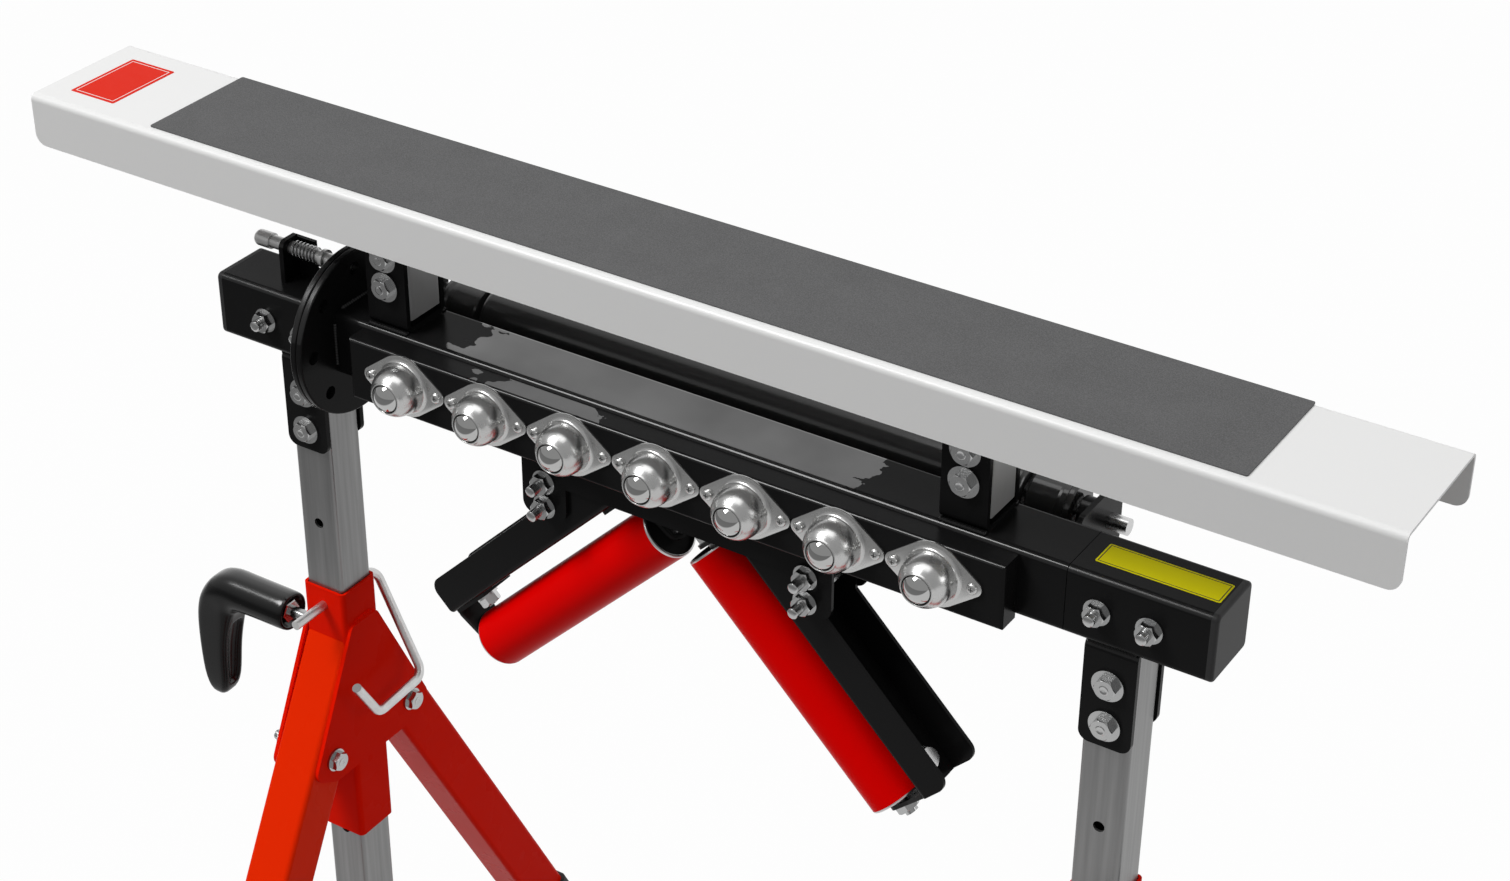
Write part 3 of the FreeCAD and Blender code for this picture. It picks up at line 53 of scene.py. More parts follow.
camera_data = bpy.data.cameras.new("camera")
camera_data.sensor_width = camera_sensor
camera_data.lens = camera_lens
camera = bpy.data.objects.new("camera", camera_data)
bpy.context.scene.collection.objects.link(camera)
camera.location = camera_place
camera.rotation_mode = "QUATERNION"
heading = Euler((math.radians(90 - camera_elevation), 0, math.radians(camera_azimuth)))
roll = Quaternion((0, 0, 1), math.radians(camera_roll))
camera.rotation_quaternion = heading.to_quaternion() @ roll
bpy.context.scene.camera = camera
bpy.context.scene.view_settings.view_transform = "Standard"


# The leg posts and the two table posts are square tube, galvanised before forming. The leg
# posts are a satin grey with faint streaks along the tube, and the table posts are paler
# and duller.


class Number:
    """A value that varies over a surface. Sums, products and comparisons add Math nodes."""

    def __init__(self, tree, socket):
        self.tree = tree
        self.socket = socket

    def __add__(self, other):
        return self.tree.math("ADD", self, other)

    def __sub__(self, other):
        return self.tree.math("SUBTRACT", self, other)

    def __rsub__(self, other):
        return self.tree.math("SUBTRACT", other, self)

    def __mul__(self, other):
        return self.tree.math("MULTIPLY", self, other)

    def __gt__(self, other):
        return self.tree.math("GREATER_THAN", self, other)

    def __lt__(self, other):
        return self.tree.math("LESS_THAN", self, other)

    __radd__ = __add__
    __rmul__ = __mul__

    def size(self):
        """The value without its sign."""
        return self.tree.math("ABSOLUTE", self)

    def between(self, low, high):
        """A value that runs from low to high while this one runs from 0 to 1."""
        return self * (high - low) + low


class Tree:
    """The nodes of a material or of the world."""

    def __init__(self, node_tree):
        self.node_tree = node_tree

    def feed(self, socket, value):
        """Link a Number to a socket, or set the socket to a constant."""
        if isinstance(value, Number):
            self.node_tree.links.new(value.socket, socket)
        else:
            socket.default_value = value

    def node(self, kind, settings, sockets, output=0):
        """Add a node with its settings and sockets, and give back one of its outputs."""
        made = self.node_tree.nodes.new(kind)
        stops = settings.pop("stops", ())
        for name, value in settings.items():
            setattr(made, name, value)
        for number, position in enumerate(stops):
            made.color_ramp.elements[number].position = position
        for name, value in sockets.items():
            self.feed(made.inputs[name], value)
        return Number(self, made.outputs[output])

    def math(self, operation, *values):
        return self.node("ShaderNodeMath", {"operation": operation}, dict(enumerate(values)))


class Finish(Tree):
    """A procedural material round a Principled shader, on Object coordinates in metres."""

    def __init__(self, name, colour=(0.5, 0.5, 0.5), roughness=0.4, metallic=0.0,
                 coat=0.0, coat_roughness=0.05, shine=0.5):
        self.material = bpy.data.materials.new(name)
        self.material.use_nodes = True
        super().__init__(self.material.node_tree)
        self.shader = self.node_tree.nodes["Principled BSDF"]
        self.colour = (*colour, 1)
        self.paint("Base Color", self.colour)
        self.paint("Roughness", roughness)
        self.paint("Metallic", metallic)
        self.paint("Coat Weight", coat)
        self.paint("Coat Roughness", coat_roughness)
        self.paint("Specular IOR Level", shine)
        self.place = self.node("ShaderNodeTexCoord", {}, {}, "Object")

    def paint(self, socket, value):
        self.feed(self.shader.inputs[socket], value)

    def along(self, axis):
        """The place along one axis, in metres."""
        return self.node("ShaderNodeSeparateXYZ", {}, {0: self.place}, axis)

    def facing(self, axis):
        """How far the surface faces along one axis, from -1 to 1."""
        normal = self.node("ShaderNodeTexCoord", {}, {}, "Normal")
        return self.node("ShaderNodeSeparateXYZ", {}, {0: normal}, axis)

    def noise(self, grain, detail=2.0, stretch=(1, 1, 1)):
        """Soft noise whose lumps are about one grain across, in metres."""
        spot = self.node("ShaderNodeMapping", {}, {"Vector": self.place, "Scale": stretch})
        sockets = {"Vector": spot, "Scale": 1 / grain, "Detail": detail}
        return self.node("ShaderNodeTexNoise", {}, sockets)

    def ramp(self, value, start, end):
        """A value that rises from 0 to 1 while another goes from the start to the end."""
        return self.node("ShaderNodeValToRGB", {"stops": (start, end)}, {0: value})

    def mix(self, share, first, second):
        """A colour between two, from a Mix node's colour sockets 6 and 7 to its output 2."""
        sockets = {0: share, 6: first, 7: second}
        return self.node("ShaderNodeMix", {"data_type": "RGBA"}, sockets, 2)

    def bump(self, height, distance):
        """Relief: a height of one stands out by the distance, in metres."""
        sockets = {"Height": height, "Distance": distance, "Strength": 1.0}
        self.paint("Normal", self.node("ShaderNodeBump", {}, sockets))


def dress(finish, *names):
    """Give CAD nodes a finish."""
    for name in names:
        nodes[name].material_slots[0].material = finish.material


post_dark = (0.18, 0.18, 0.18, 1)
post_pale = (0.26, 0.26, 0.259, 1)
dull_dark = (0.34, 0.34, 0.34, 1)
dull_pale = (0.50, 0.50, 0.50, 1)

galvanised = Finish("galvanised", metallic=0.8)
streaks = galvanised.noise(grain=0.004, detail=4.0, stretch=(1, 1, 0.03))
cloud = galvanised.noise(grain=0.05, detail=3.0, stretch=(1, 1, 0.3))
streak_tone = galvanised.ramp(streaks * 0.6 + cloud * 0.4, start=0.35, end=0.65)
galvanised.paint("Base Color", galvanised.mix(streak_tone, post_dark, post_pale))
galvanised.paint("Roughness", cloud.between(0.26, 0.42))
galvanised.bump(streaks, distance=0.00003)
dress(galvanised, "leg_tube_left", "leg_tube_right")

dull_galvanised = Finish("dull_galvanised", metallic=0.3)
dull_cloud = dull_galvanised.noise(grain=0.03, detail=4.0, stretch=(1, 1, 0.3))
dull_galvanised.paint("Base Color", dull_galvanised.mix(dull_cloud, dull_dark, dull_pale))
dull_galvanised.paint("Roughness", dull_cloud.between(0.40, 0.54))
dull_galvanised.bump(dull_cloud, distance=0.00003)
dress(dull_galvanised, "table_posts")


# The head, its housings, saddles, discs, rail, hanger and arms are welded steel with a
# glossy black powder coat. It is thick, has a fine orange peel and catches the light along
# its front edges. On part of the beam and rail it has pooled to a mirror with ragged ends.

pools = {"head_beam": (-0.172, 0.158), "ball_rail": (-0.142, -0.050)}


def orange_peel(made, haze):
    """The fine relief and slow waves of a thick powder coat."""
    made.bump(made.noise(grain=0.0016) * 0.6 + haze * 0.4, distance=0.00005)


def black_coat(name):
    made = Finish(name, colour=(0.0095, 0.0095, 0.0097), coat_roughness=0.25, shine=0.05)
    haze = made.noise(grain=0.05, detail=4.0)
    upward = made.facing("Z")
    made.front_edges = (upward > 0.25) * (upward < 0.96) * (made.facing("Y") < -0.2)
    made.paint("Roughness", haze.between(0.16, 0.32) + made.front_edges * 0.12)
    made.paint("Coat Weight", made.front_edges * 0.6)
    orange_peel(made, haze)
    return made


black_paint = black_coat("black_powder_coat")
dress(black_paint, "leg_saddles", "left_housing", "right_housing", "fixed_disc",
      "plunger_bracket", "index_disc", "table_sockets", "hanger_bracket",
      "rear_roller_brackets", "v_arm_left", "v_arm_right")
for node, (pool_start, pool_end) in pools.items():
    pooled_paint = black_coat(f"pooled_black_powder_coat_{node}")
    pooled_paint.paint("Coat Roughness", 0.1)
    pooled_paint.paint("Coat IOR", 1.8)
    ragged = pooled_paint.noise(grain=0.022, detail=4.0, stretch=(0.7, 1, 1))
    place = pooled_paint.along("X") + ragged.between(-0.05, 0.05)
    on_top = pooled_paint.facing("Z") > 0.9
    pool = (place > pool_start) * (place < pool_end) * on_top
    mirror = pooled_paint.noise(grain=0.05).between(0.6, 1.3)
    pooled_paint.paint("Coat Weight", pool * mirror + pooled_paint.front_edges * 0.3)
    dress(pooled_paint, node)


# The two pivot stubs are turned from steel, and each is bolted inside a housing. They run
# in bushes of black nylon in the ends of the beam.

turned_steel = Finish("turned_steel", colour=(0.42, 0.42, 0.41), roughness=0.35, metallic=1.0)
turned_steel.bump(turned_steel.noise(grain=0.0008, detail=1.0, stretch=(1, 0.05, 0.05)),
                  distance=0.00002)
dress(turned_steel, "pivot_stubs")
nylon = Finish("black_nylon", colour=(0.03, 0.03, 0.03), roughness=0.5)
nylon.bump(nylon.noise(grain=0.0006), distance=0.00002)
dress(nylon, "pivot_bushes")


# The housings are closed by caps of dark grey plastic, moulded with bevelled outer edges
# and pushed into the tube.

cap_plastic = Finish("moulded_cap", colour=(0.028, 0.028, 0.0285), roughness=0.5, shine=0.2)
cap_plastic.bump(cap_plastic.noise(grain=0.0007), distance=0.00003)
dress(cap_plastic, "housing_end_caps")


# Bolts, washers, nuts, clamp screws, axles and the plunger's spring are bright zinc-plated
# steel, with a slight cool cast and a patchy shine.

zinc_dark = (0.38, 0.385, 0.39, 1)
zinc_pale = (0.50, 0.50, 0.495, 1)

zinc = Finish("bright_zinc", metallic=1.0)
zinc_patches = zinc.noise(grain=0.012, detail=3.0)
zinc.paint("Base Color", zinc.mix(zinc_patches, zinc_dark, zinc_pale))
zinc.paint("Roughness", zinc_patches.between(0.18, 0.26))
zinc.bump(zinc.noise(grain=0.0007), distance=0.00001)
dress(zinc, "frame_fasteners", "head_fasteners", "sleeve_fasteners_left",
      "sleeve_fasteners_right", "clamp_screw_left", "clamp_screw_right", "v_axle_left",
      "v_axle_right", "plunger_spring")


# The locking pins and the plunger are drawn steel rod with a paler, softer zinc plating.
# The pins' returned tips are painted a dull, dark, non-metallic grey: painted shade,
# standing in for the shade on their rounded ends.

rod_dark = (0.50, 0.50, 0.50, 1)
rod_pale = (0.72, 0.72, 0.71, 1)
tip_shade_grey = (0.26, 0.26, 0.26, 1)
pin_tip_y = -0.038
pin_tip_z = 0.458
pin_tip_lean = math.radians(31.6)
tip_shade_depth = 0.0004
pin_run_low = 0.48

drawn_rod = Finish("drawn_zinc_rod")
rod_patches = drawn_rod.noise(grain=0.006, detail=3.0)
rod_z = drawn_rod.along("Z")
from_tip = ((rod_z - pin_tip_z) * math.cos(pin_tip_lean)
            - (drawn_rod.along("Y") - pin_tip_y) * math.sin(pin_tip_lean))
# The tips' end faces get painted shade: dull dark grey in place of the bright plating.
tip_shade = (from_tip > -tip_shade_depth) * (rod_z < pin_run_low)
rod_tone = drawn_rod.mix(rod_patches, rod_dark, rod_pale)
drawn_rod.paint("Base Color", drawn_rod.mix(tip_shade, rod_tone, tip_shade_grey))
drawn_rod.paint("Metallic", 1 - tip_shade)
drawn_rod.paint("Roughness", rod_patches.between(0.34, 0.46) + tip_shade * 0.3)
drawn_rod.bump(drawn_rod.noise(grain=0.0007), distance=0.00002)
dress(drawn_rod, "locking_pin_left", "locking_pin_right", "index_plunger")


# Each bolt of 8 mm ends past its nut in a few turns of thread and a rounded tip, and each
# bolt head has a shallow ring pressed in its middle. The bolts of saddles and sockets go in
# from the front, and those of housings and hanger from the back.

head_x = 0.012
beam_z = 0.760
pivot_z = 0.386
leg_reach = 0.334
leg_x = {"left": head_x - leg_reach, "right": head_x + leg_reach}
ways = {"left": -1, "right": 1}
quarter_turn = math.radians(90)
lays = {"x": (0, quarter_turn, 0), "-x": (0, -quarter_turn, 0),
        "y": (-quarter_turn, 0, 0), "-y": (quarter_turn, 0, 0), "z": (0, 0, 0)}


def settle(piece):
    """Put a piece's place, turn and scale into its mesh."""
    bpy.ops.object.select_all(action="DESELECT")
    piece.select_set(True)
    bpy.context.view_layer.objects.active = piece
    bpy.ops.object.transform_apply(location=True, rotation=True, scale=True)


def turned(name, sides, rings):
    """A round piece along Z, raised ring by ring from pairs of radius and height."""
    radius, height = rings[0]
    bpy.ops.object.select_all(action="DESELECT")
    bpy.ops.mesh.primitive_circle_add(vertices=sides, radius=radius, fill_type="NGON",
                                      location=(0, 0, height))
    piece = bpy.context.object
    piece.name = name
    settle(piece)
    bpy.ops.object.mode_set(mode="EDIT")
    bpy.ops.mesh.select_all(action="SELECT")
    for wide, high in rings[1:]:
        lift = {"value": (0, 0, high - height)}
        bpy.ops.mesh.extrude_region_move(TRANSFORM_OT_translate=lift)
        growth = wide / radius
        bpy.ops.transform.resize(value=(growth, growth, 1), center_override=(0, 0, high))
        radius, height = wide, high
    bpy.ops.mesh.select_all(action="SELECT")
    bpy.ops.mesh.normals_make_consistent(inside=False)
    bpy.ops.object.mode_set(mode="OBJECT")
    return piece


def spread(pattern, name, places):
    """Copies of a pattern at (place, lay) pairs, joined into one piece."""
    bpy.ops.object.select_all(action="DESELECT")
    for place, lay in places:
        one = bpy.data.objects.new(name, pattern.data.copy())
        bpy.context.scene.collection.objects.link(one)
        one.location = place
        one.rotation_euler = lays[lay]
        one.select_set(True)
        bpy.context.view_layer.objects.active = one
    if len(places) > 1:
        bpy.ops.object.join()
    piece = bpy.context.view_layer.objects.active
    piece.name = name
    settle(piece)
    return piece


def complete(piece, finish, body, smooth_angle=35):
    """Smooth a piece, give it its finish and tie it to its body."""
    bpy.ops.object.select_all(action="DESELECT")
    piece.select_set(True)
    bpy.context.view_layer.objects.active = piece
    bpy.ops.object.shade_smooth_by_angle(angle=math.radians(smooth_angle))
    piece.data.materials.clear()
    piece.data.materials.append(finish.material)
    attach(piece, body)


def discard(*patterns):
    for pattern in patterns:
        bpy.data.objects.remove(pattern)


thread_crest = 0.0042
thread_root = 0.00402
thread_pitch = 0.00125


def thread_end(name, length):
    rings = [(thread_root, -0.0005)]
    for turn in range(int(length / thread_pitch)):
        low = turn * thread_pitch
        rings += [(thread_root, low + 0.0002), (thread_crest, low + 0.0006),
                  (thread_root, low + 0.0011)]
    rings += [(thread_root, length + 0.0001), (0.0035, length + 0.0006),
              (0.0022, length + 0.0009)]
    return turned(name, 20, rings)


def at_depth(spots, y, lay):
    """Places for a spread, from pairs of x and z that are all equally deep."""
    return [((x, y, z), lay) for x, z in spots]


short_end = thread_end("short_thread_end", length=0.005)
long_end = thread_end("long_thread_end", length=0.009)
head_ring = turned("head_ring", 24, [(0.0036, -0.0002), (0.0036, 0.0001), (0.0033, 0.0003),
                                     (0.0026, 0.0003), (0.0022, 0.0001), (0.0008, 0.0001)])
front_heads, front_ends = (-0.029, "-y"), (0.030, "y")
back_heads, back_ends = (0.033, "y"), (-0.034, "-y")
housing_offsets = (-0.3605, -0.324, 0.324, 0.3605)
socket_xs = (-0.235, 0.235)
hanger_reach = 0.109
arm_pivot_drop = 0.054
arm_lock_drop = 0.0745

saddle_spots = [(x, beam_z - drop) for x in leg_x.values() for drop in (0.056, 0.088)]
housing_spots = [(head_x + offset, beam_z) for offset in housing_offsets]
socket_spots = [(x, beam_z + rise) for x in socket_xs for rise in (0.060, 0.0835)]
hanger_spots = [(head_x + x, beam_z - drop) for x in (-hanger_reach, hanger_reach)
                for drop in (arm_pivot_drop, arm_lock_drop)]

frame_ends = spread(short_end, "frame_thread_ends",
                    at_depth(saddle_spots, *front_ends) + at_depth(housing_spots, *back_ends))
complete(frame_ends, zinc, "frame")
frame_rings = spread(head_ring, "frame_head_rings",
                     at_depth(saddle_spots, *front_heads) + at_depth(housing_spots, *back_heads))
complete(frame_rings, zinc, "frame")
socket_ends = spread(short_end, "socket_thread_ends", at_depth(socket_spots, *front_ends))
complete(socket_ends, zinc, "head")
hanger_ends = spread(long_end, "hanger_thread_ends", at_depth(hanger_spots, *back_ends))
complete(hanger_ends, zinc, "head")
head_rings = spread(head_ring, "head_head_rings",
                    at_depth(socket_spots, *front_heads) + at_depth(hanger_spots, *back_heads))
complete(head_rings, zinc, "head")

pivot_ys = (-0.048, 0.048)
pivot_end_reach = 0.0315
pivot_head_reach = 0.0305
for side, way in ways.items():
    outward, inward = ("x", "-x") if side == "right" else ("-x", "x")
    end_x = leg_x[side] + way * pivot_end_reach
    ring_x = leg_x[side] - way * pivot_head_reach
    pivot_ends = spread(short_end, f"pivot_thread_ends_{side}",
                        [((end_x, y, pivot_z), outward) for y in pivot_ys])
    complete(pivot_ends, zinc, f"sleeve_{side}")
    pivot_rings = spread(head_ring, f"pivot_head_rings_{side}",
                         [((ring_x, y, pivot_z), inward) for y in pivot_ys])
    complete(pivot_rings, zinc, f"sleeve_{side}")
discard(short_end, long_end, head_ring)


# The welds are short beads of overlapping ripples, painted over with the piece. These run
# round the ends of the beam and left housing, at the feet of the table sockets and on top
# of the saddles.

ripple = 0.0023
weld_smooth = 60
beam_half = 0.0255
lug_half = 0.0215
seams = (("beam_end_welds", "head", -0.2822), ("housing_end_welds", "frame", -0.2925))


def bead(name, length):
    rings = [(0.0008, -length / 2 - 0.0008)]
    for number in range(round(length / ripple)):
        low = number * ripple - length / 2
        rings += [(0.0019, low + 0.0003), (0.0026, low + 0.0011), (0.0022, low + 0.0020)]
    rings.append((0.0008, length / 2 + 0.0006))
    return turned(name, 12, rings)


long_bead = bead("long_bead", length=0.034)
socket_feet = [((x, y, beam_z + beam_half), "x") for x in socket_xs
               for y in (-lug_half, lug_half)]
complete(spread(long_bead, "socket_welds", socket_feet),
         black_paint, "head", weld_smooth)
saddle_tops = [((x, y, beam_z - beam_half), "x") for x in leg_x.values()
               for y in (-lug_half, lug_half)]
complete(spread(long_bead, "saddle_welds", saddle_tops),
         black_paint, "frame", weld_smooth)
for name, body, seam_x in seams:
    flat_sides = [((seam_x, 0, beam_z + z), "y") for z in (-beam_half, beam_half)]
    upright_sides = [((seam_x, y, beam_z), "z") for y in (-beam_half, beam_half)]
    complete(spread(long_bead, name, flat_sides + upright_sides),
             black_paint, body, weld_smooth)
discard(long_bead)


# The seven ball units: a flange and bell pressed from bright steel, held to the rail by two
# screws with a cross recess, and a polished bearing ball that shows a third of itself.

pressed_steel = Finish("pressed_steel", colour=(0.52, 0.52, 0.515), metallic=0.92)
pressed_haze = pressed_steel.noise(grain=0.008, detail=3.0)
pressed_steel.paint("Roughness", pressed_haze.between(0.20, 0.32))
pressed_steel.bump(pressed_steel.noise(grain=0.0005), distance=0.000008)
ball_steel = Finish("polished_ball_steel", colour=(0.46, 0.46, 0.455), metallic=1.0)
ball_steel.paint("Roughness", ball_steel.noise(grain=0.004).between(0.04, 0.09))
dress(ball_steel, *[f"ball_{number}" for number in range(1, 8)])

ball_pitch = 0.072
ball_xs = [head_x + (number - 3) * ball_pitch for number in range(7)]
ball_z = 0.7594
rail_front = -0.044
flange_thick = 0.002
screw_half = 0.0292
flange_outlines = [(-screw_half, 0.0065), (0, 0.0242), (screw_half, 0.0065)]
millimetre = 0.001
bell_rings = [
    (21.5, 1.5), (21.5, 2.0), (20.4, 2.35), (19.5, 3.0), (19.0, 4.0), (18.8, 5.2), (18.75, 7.5),
    (18.7, 10.0), (18.4, 12.5), (17.8, 15.0), (16.9, 17.2), (15.7, 19.2), (14.3, 20.9),
    (13.0, 22.2), (12.3, 23.0), (12.1, 23.5), (11.7, 23.8), (11.2, 23.8), (10.9, 23.4),
    (11.3, 22.4), (12.0, 21.0), (12.7, 19.0), (13.1, 16.0), (12.5, 12.0), (10.5, 8.0),
    (7.4, 5.0), (4.5, 3.5), (2.3, 2.9)]

flange_parts = []
for x, radius in flange_outlines:
    flange_part = turned("flange_part", 64, [(radius, 0), (radius, flange_thick)])
    flange_part.location = (x, 0, 0)
    flange_parts.append(flange_part)
bpy.ops.object.select_all(action="DESELECT")
for flange_part in flange_parts:
    flange_part.select_set(True)
bpy.ops.object.join()
flange = bpy.context.view_layer.objects.active
settle(flange)
bpy.ops.object.mode_set(mode="EDIT")
bpy.ops.mesh.select_all(action="SELECT")
bpy.ops.mesh.convex_hull()
bpy.ops.mesh.select_all(action="SELECT")
bpy.ops.mesh.dissolve_limited(angle_limit=0.02)
bpy.ops.object.mode_set(mode="OBJECT")
flange_edge = flange.modifiers.new("flange_edge", "BEVEL")
flange_edge.width = 0.0005
flange_edge.segments = 2
flange_edge.angle_limit = 1.0
bpy.ops.object.modifier_apply(modifier="flange_edge")
bell = turned("bell", 64, [(radius * millimetre, height * millimetre)
                           for radius, height in bell_rings])
bpy.ops.object.select_all(action="DESELECT")
bell.select_set(True)
flange.select_set(True)
bpy.context.view_layer.objects.active = flange
bpy.ops.object.join()
ball_cups = spread(flange, "pressed_ball_housings",
                   [((x, rail_front, ball_z), "-y") for x in ball_xs])
complete(ball_cups, pressed_steel, "head", 40)
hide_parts("ball_housings")
discard(flange)

cross_size = (0.0047, 0.0010, 0.0024)
cross_middle = 0.0022
cross_bottom = 0.001
cross_taper = 0.55
pan_head = turned("pan_head", 32, [(0.0040, -0.0002), (0.0040, 0.0008), (0.0038, 0.0015),
                                   (0.0031, 0.0021), (0.0020, 0.0024)])
for turn in (0, quarter_turn):
    bpy.ops.object.select_all(action="DESELECT")
    bpy.ops.mesh.primitive_cube_add(size=1, location=(0, 0, cross_middle),
                                    rotation=(0, 0, turn), scale=cross_size)
    slot_tool = bpy.context.object
    settle(slot_tool)
    bpy.ops.object.mode_set(mode="EDIT")
    bpy.ops.mesh.select_mode(type="FACE")
    bpy.ops.mesh.select_all(action="DESELECT")
    bpy.ops.object.mode_set(mode="OBJECT")
    for face in slot_tool.data.polygons:
        face.select = face.normal.z < -0.9
    bpy.ops.object.mode_set(mode="EDIT")
    bpy.ops.transform.resize(value=(cross_taper, cross_taper, 1),
                             center_override=(0, 0, cross_bottom))
    bpy.ops.object.mode_set(mode="OBJECT")
    cross = pan_head.modifiers.new("cross", "BOOLEAN")
    cross.operation = "DIFFERENCE"
    cross.object = slot_tool
    bpy.context.view_layer.objects.active = pan_head
    bpy.ops.object.modifier_apply(modifier="cross")
    discard(slot_tool)
ball_screws = spread(pan_head, "cross_recessed_screws",
                     [((x + offset, rail_front - flange_thick, ball_z), "-y")
                      for x in ball_xs for offset in (-screw_half, screw_half)])
complete(ball_screws, pressed_steel, "head")
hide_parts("ball_screws")
discard(pan_head)


# The table is one folded sheet with a satin white powder coat, and on it lies a grey
# anti-slip mat with a fine grit.

mat_dark = (0.096, 0.096, 0.097, 1)
mat_pale = (0.148, 0.148, 0.150, 1)

table_white = Finish("white_powder_coat", colour=(0.84, 0.84, 0.835), coat=0.15,
                     coat_roughness=0.2)
table_white.paint("Roughness", table_white.noise(grain=0.03, detail=3.0).between(0.33, 0.47))
table_white.bump(table_white.noise(grain=0.0014), distance=0.00003)
dress(table_white, "table_top")

mat = Finish("anti_slip_mat", roughness=0.85, shine=0.2)
grit = mat.noise(grain=0.0009, detail=3.0)
worn = mat.noise(grain=0.03, detail=5.0)
mat_tone = mat.ramp(grit * 0.85 + worn * 0.15, start=0.35, end=0.65)
mat.paint("Base Color", mat.mix(mat_tone, mat_dark, mat_pale))
mat.bump(grit, distance=0.0002)
dress(mat, "table_mat")


# The two V rollers are steel tubes in a smooth red sleeve with bare steel rims, and their
# end faces inside the rims are painted black. Their brackets have the black coat, painted a
# paler black for the light on them (painted light), with zinc bolts in them.

bare_steel = (0.55, 0.55, 0.55, 1)
recessed_end_black = (0.02, 0.02, 0.02, 1)
light_paled_bracket_black = (0.03, 0.03, 0.03, 1)
bolt_grey = (0.6, 0.6, 0.6, 1)
slope = math.sqrt(0.5)
roller_start = -0.0493
roller_end = 0.1702
roller_drop = 0.0784
rim_width = 0.0018
disc_radius = 0.02074
bracket_bolts = (-0.035, 0.1559)
bolt_room = 0.01
bracket_leg_top = -0.0414
bracket_leg_under = -0.0446


def along_arm(finish, way):
    """How far a place is along a V arm from its pivot, and how far off it, upwards."""
    out = (finish.along("X") - (head_x + way * hanger_reach)) * (way * slope)
    down = (finish.along("Z") - (beam_z - arm_pivot_drop)) * slope
    return out - down, out + down


for side, way in ways.items():
    red_roller = Finish(f"red_roller_sleeve_{side}", colour=(0.93, 0.0006, 0.0004),
                        roughness=0.3, shine=0.02)
    run, rise = along_arm(red_roller, way)
    off_axis = rise + roller_drop
    across = red_roller.along("Y")
    # Inside the rim the end face is painted black, for the dark, recessed end of each roller.
    inside = (off_axis * off_axis + across * across) < disc_radius ** 2
    rim = (run > roller_end - rim_width) + (run < roller_start + rim_width)
    sleeve_or_rim = red_roller.mix(rim, red_roller.colour, bare_steel)
    red_roller.paint("Base Color", red_roller.mix(inside, sleeve_or_rim, recessed_end_black))
    red_roller.paint("Metallic", rim * (1 - inside))
    red_roller.bump(red_roller.noise(grain=0.01), distance=0.00004)
    dress(red_roller, f"v_roller_{side}")

    bracket = black_coat(f"bracket_coat_with_zinc_bolts_{side}")
    run, rise = along_arm(bracket, way)
    near_bolt, far_bolt = [(run - place).size() < bolt_room for place in bracket_bolts]
    bolt_share = (rise > bracket_leg_top) + (rise < bracket_leg_under) * (near_bolt + far_bolt)
    # The brackets' black is paler than the coat elsewhere: painted light, for the light on their
    # faces.
    bracket.paint("Base Color", bracket.mix(bolt_share, light_paled_bracket_black, bolt_grey))
    bracket.paint("Metallic", bolt_share)
    dress(bracket, f"v_roller_bracket_{side}")


# The rear roller is a plain black one. It runs on a zinc axle with a dark spacer at each
# end, and its turned hubs stand out past the sleeve.

axle_pale = (0.62, 0.62, 0.62, 1)
spacer_grey = (0.16, 0.16, 0.16, 1)
rear_axle_y = 0.072
spacer_bore_radius = 0.0063
spacer_start = 0.2275
spacer_end = 0.2625
hub_start = 0.2278

rear_axle = Finish("rear_axle_and_spacers", metallic=1.0)
axle_y = rear_axle.along("Y") - rear_axle_y
axle_z = rear_axle.along("Z") - beam_z
axle_reach = (rear_axle.along("X") - head_x).size()
outside_bore = (axle_y * axle_y + axle_z * axle_z) > spacer_bore_radius ** 2
spacer = outside_bore * (axle_reach > spacer_start) * (axle_reach < spacer_end)
rear_axle.paint("Base Color", rear_axle.mix(spacer, axle_pale, spacer_grey))
rear_axle.paint("Roughness", rear_axle.noise(grain=0.006, detail=3.0).between(0.16, 0.36))
rear_axle.bump(rear_axle.noise(grain=0.0007), distance=0.00002)
dress(rear_axle, "rear_roller_axle")

black_roller = Finish("black_roller_sleeve", colour=(0.032, 0.032, 0.032), roughness=0.16,
                      shine=0.6)
black_roller.bump(black_roller.noise(grain=0.01), distance=0.00004)
dress(black_roller, "rear_roller")
hub = turned("hub", 48, [(0.0165, 0.0), (0.0195, 0.0008), (0.0205, 0.0022), (0.0205, 0.0230),
                         (0.0188, 0.0245), (0.0188, 0.0280), (0.0205, 0.0295), (0.0205, 0.0320),
                         (0.0195, 0.0335), (0.0120, 0.0335)])
hubs = spread(hub, "rear_roller_hubs", [((head_x + hub_start, rear_axle_y, beam_z), "x"),
                                        ((head_x - hub_start, rear_axle_y, beam_z), "-x")])
complete(hubs, black_roller, "rear_roller")
discard(hub)


# The sleeves, gussets and folding legs are square tube and plate in one glossy red-orange
# powder coat. The sleeves, gussets and back legs take a deeper, darker red copy of it that
# is painted shade, for parts mostly seen in shade. A short weld runs above each gusset plate.

leg_red = Finish("red_orange_powder_coat", colour=(0.98, 0.027, 0.0003), shine=0.03)
# The deeper, darker red is painted shade: the same coat as on the front legs.
shade_deepened_red = Finish("red_powder_coat_deepened_as_shade", colour=(0.94, 0.010, 0.0003), shine=0.015)
for red in (leg_red, shade_deepened_red):
    red_haze = red.noise(grain=0.05, detail=4.0)
    red.paint("Roughness", red_haze.between(0.20, 0.36))
    orange_peel(red, red_haze)
dress(leg_red, "leg_front_left", "leg_front_right")
dress(shade_deepened_red, "sleeve_left", "sleeve_right", "leg_back_left", "leg_back_right")

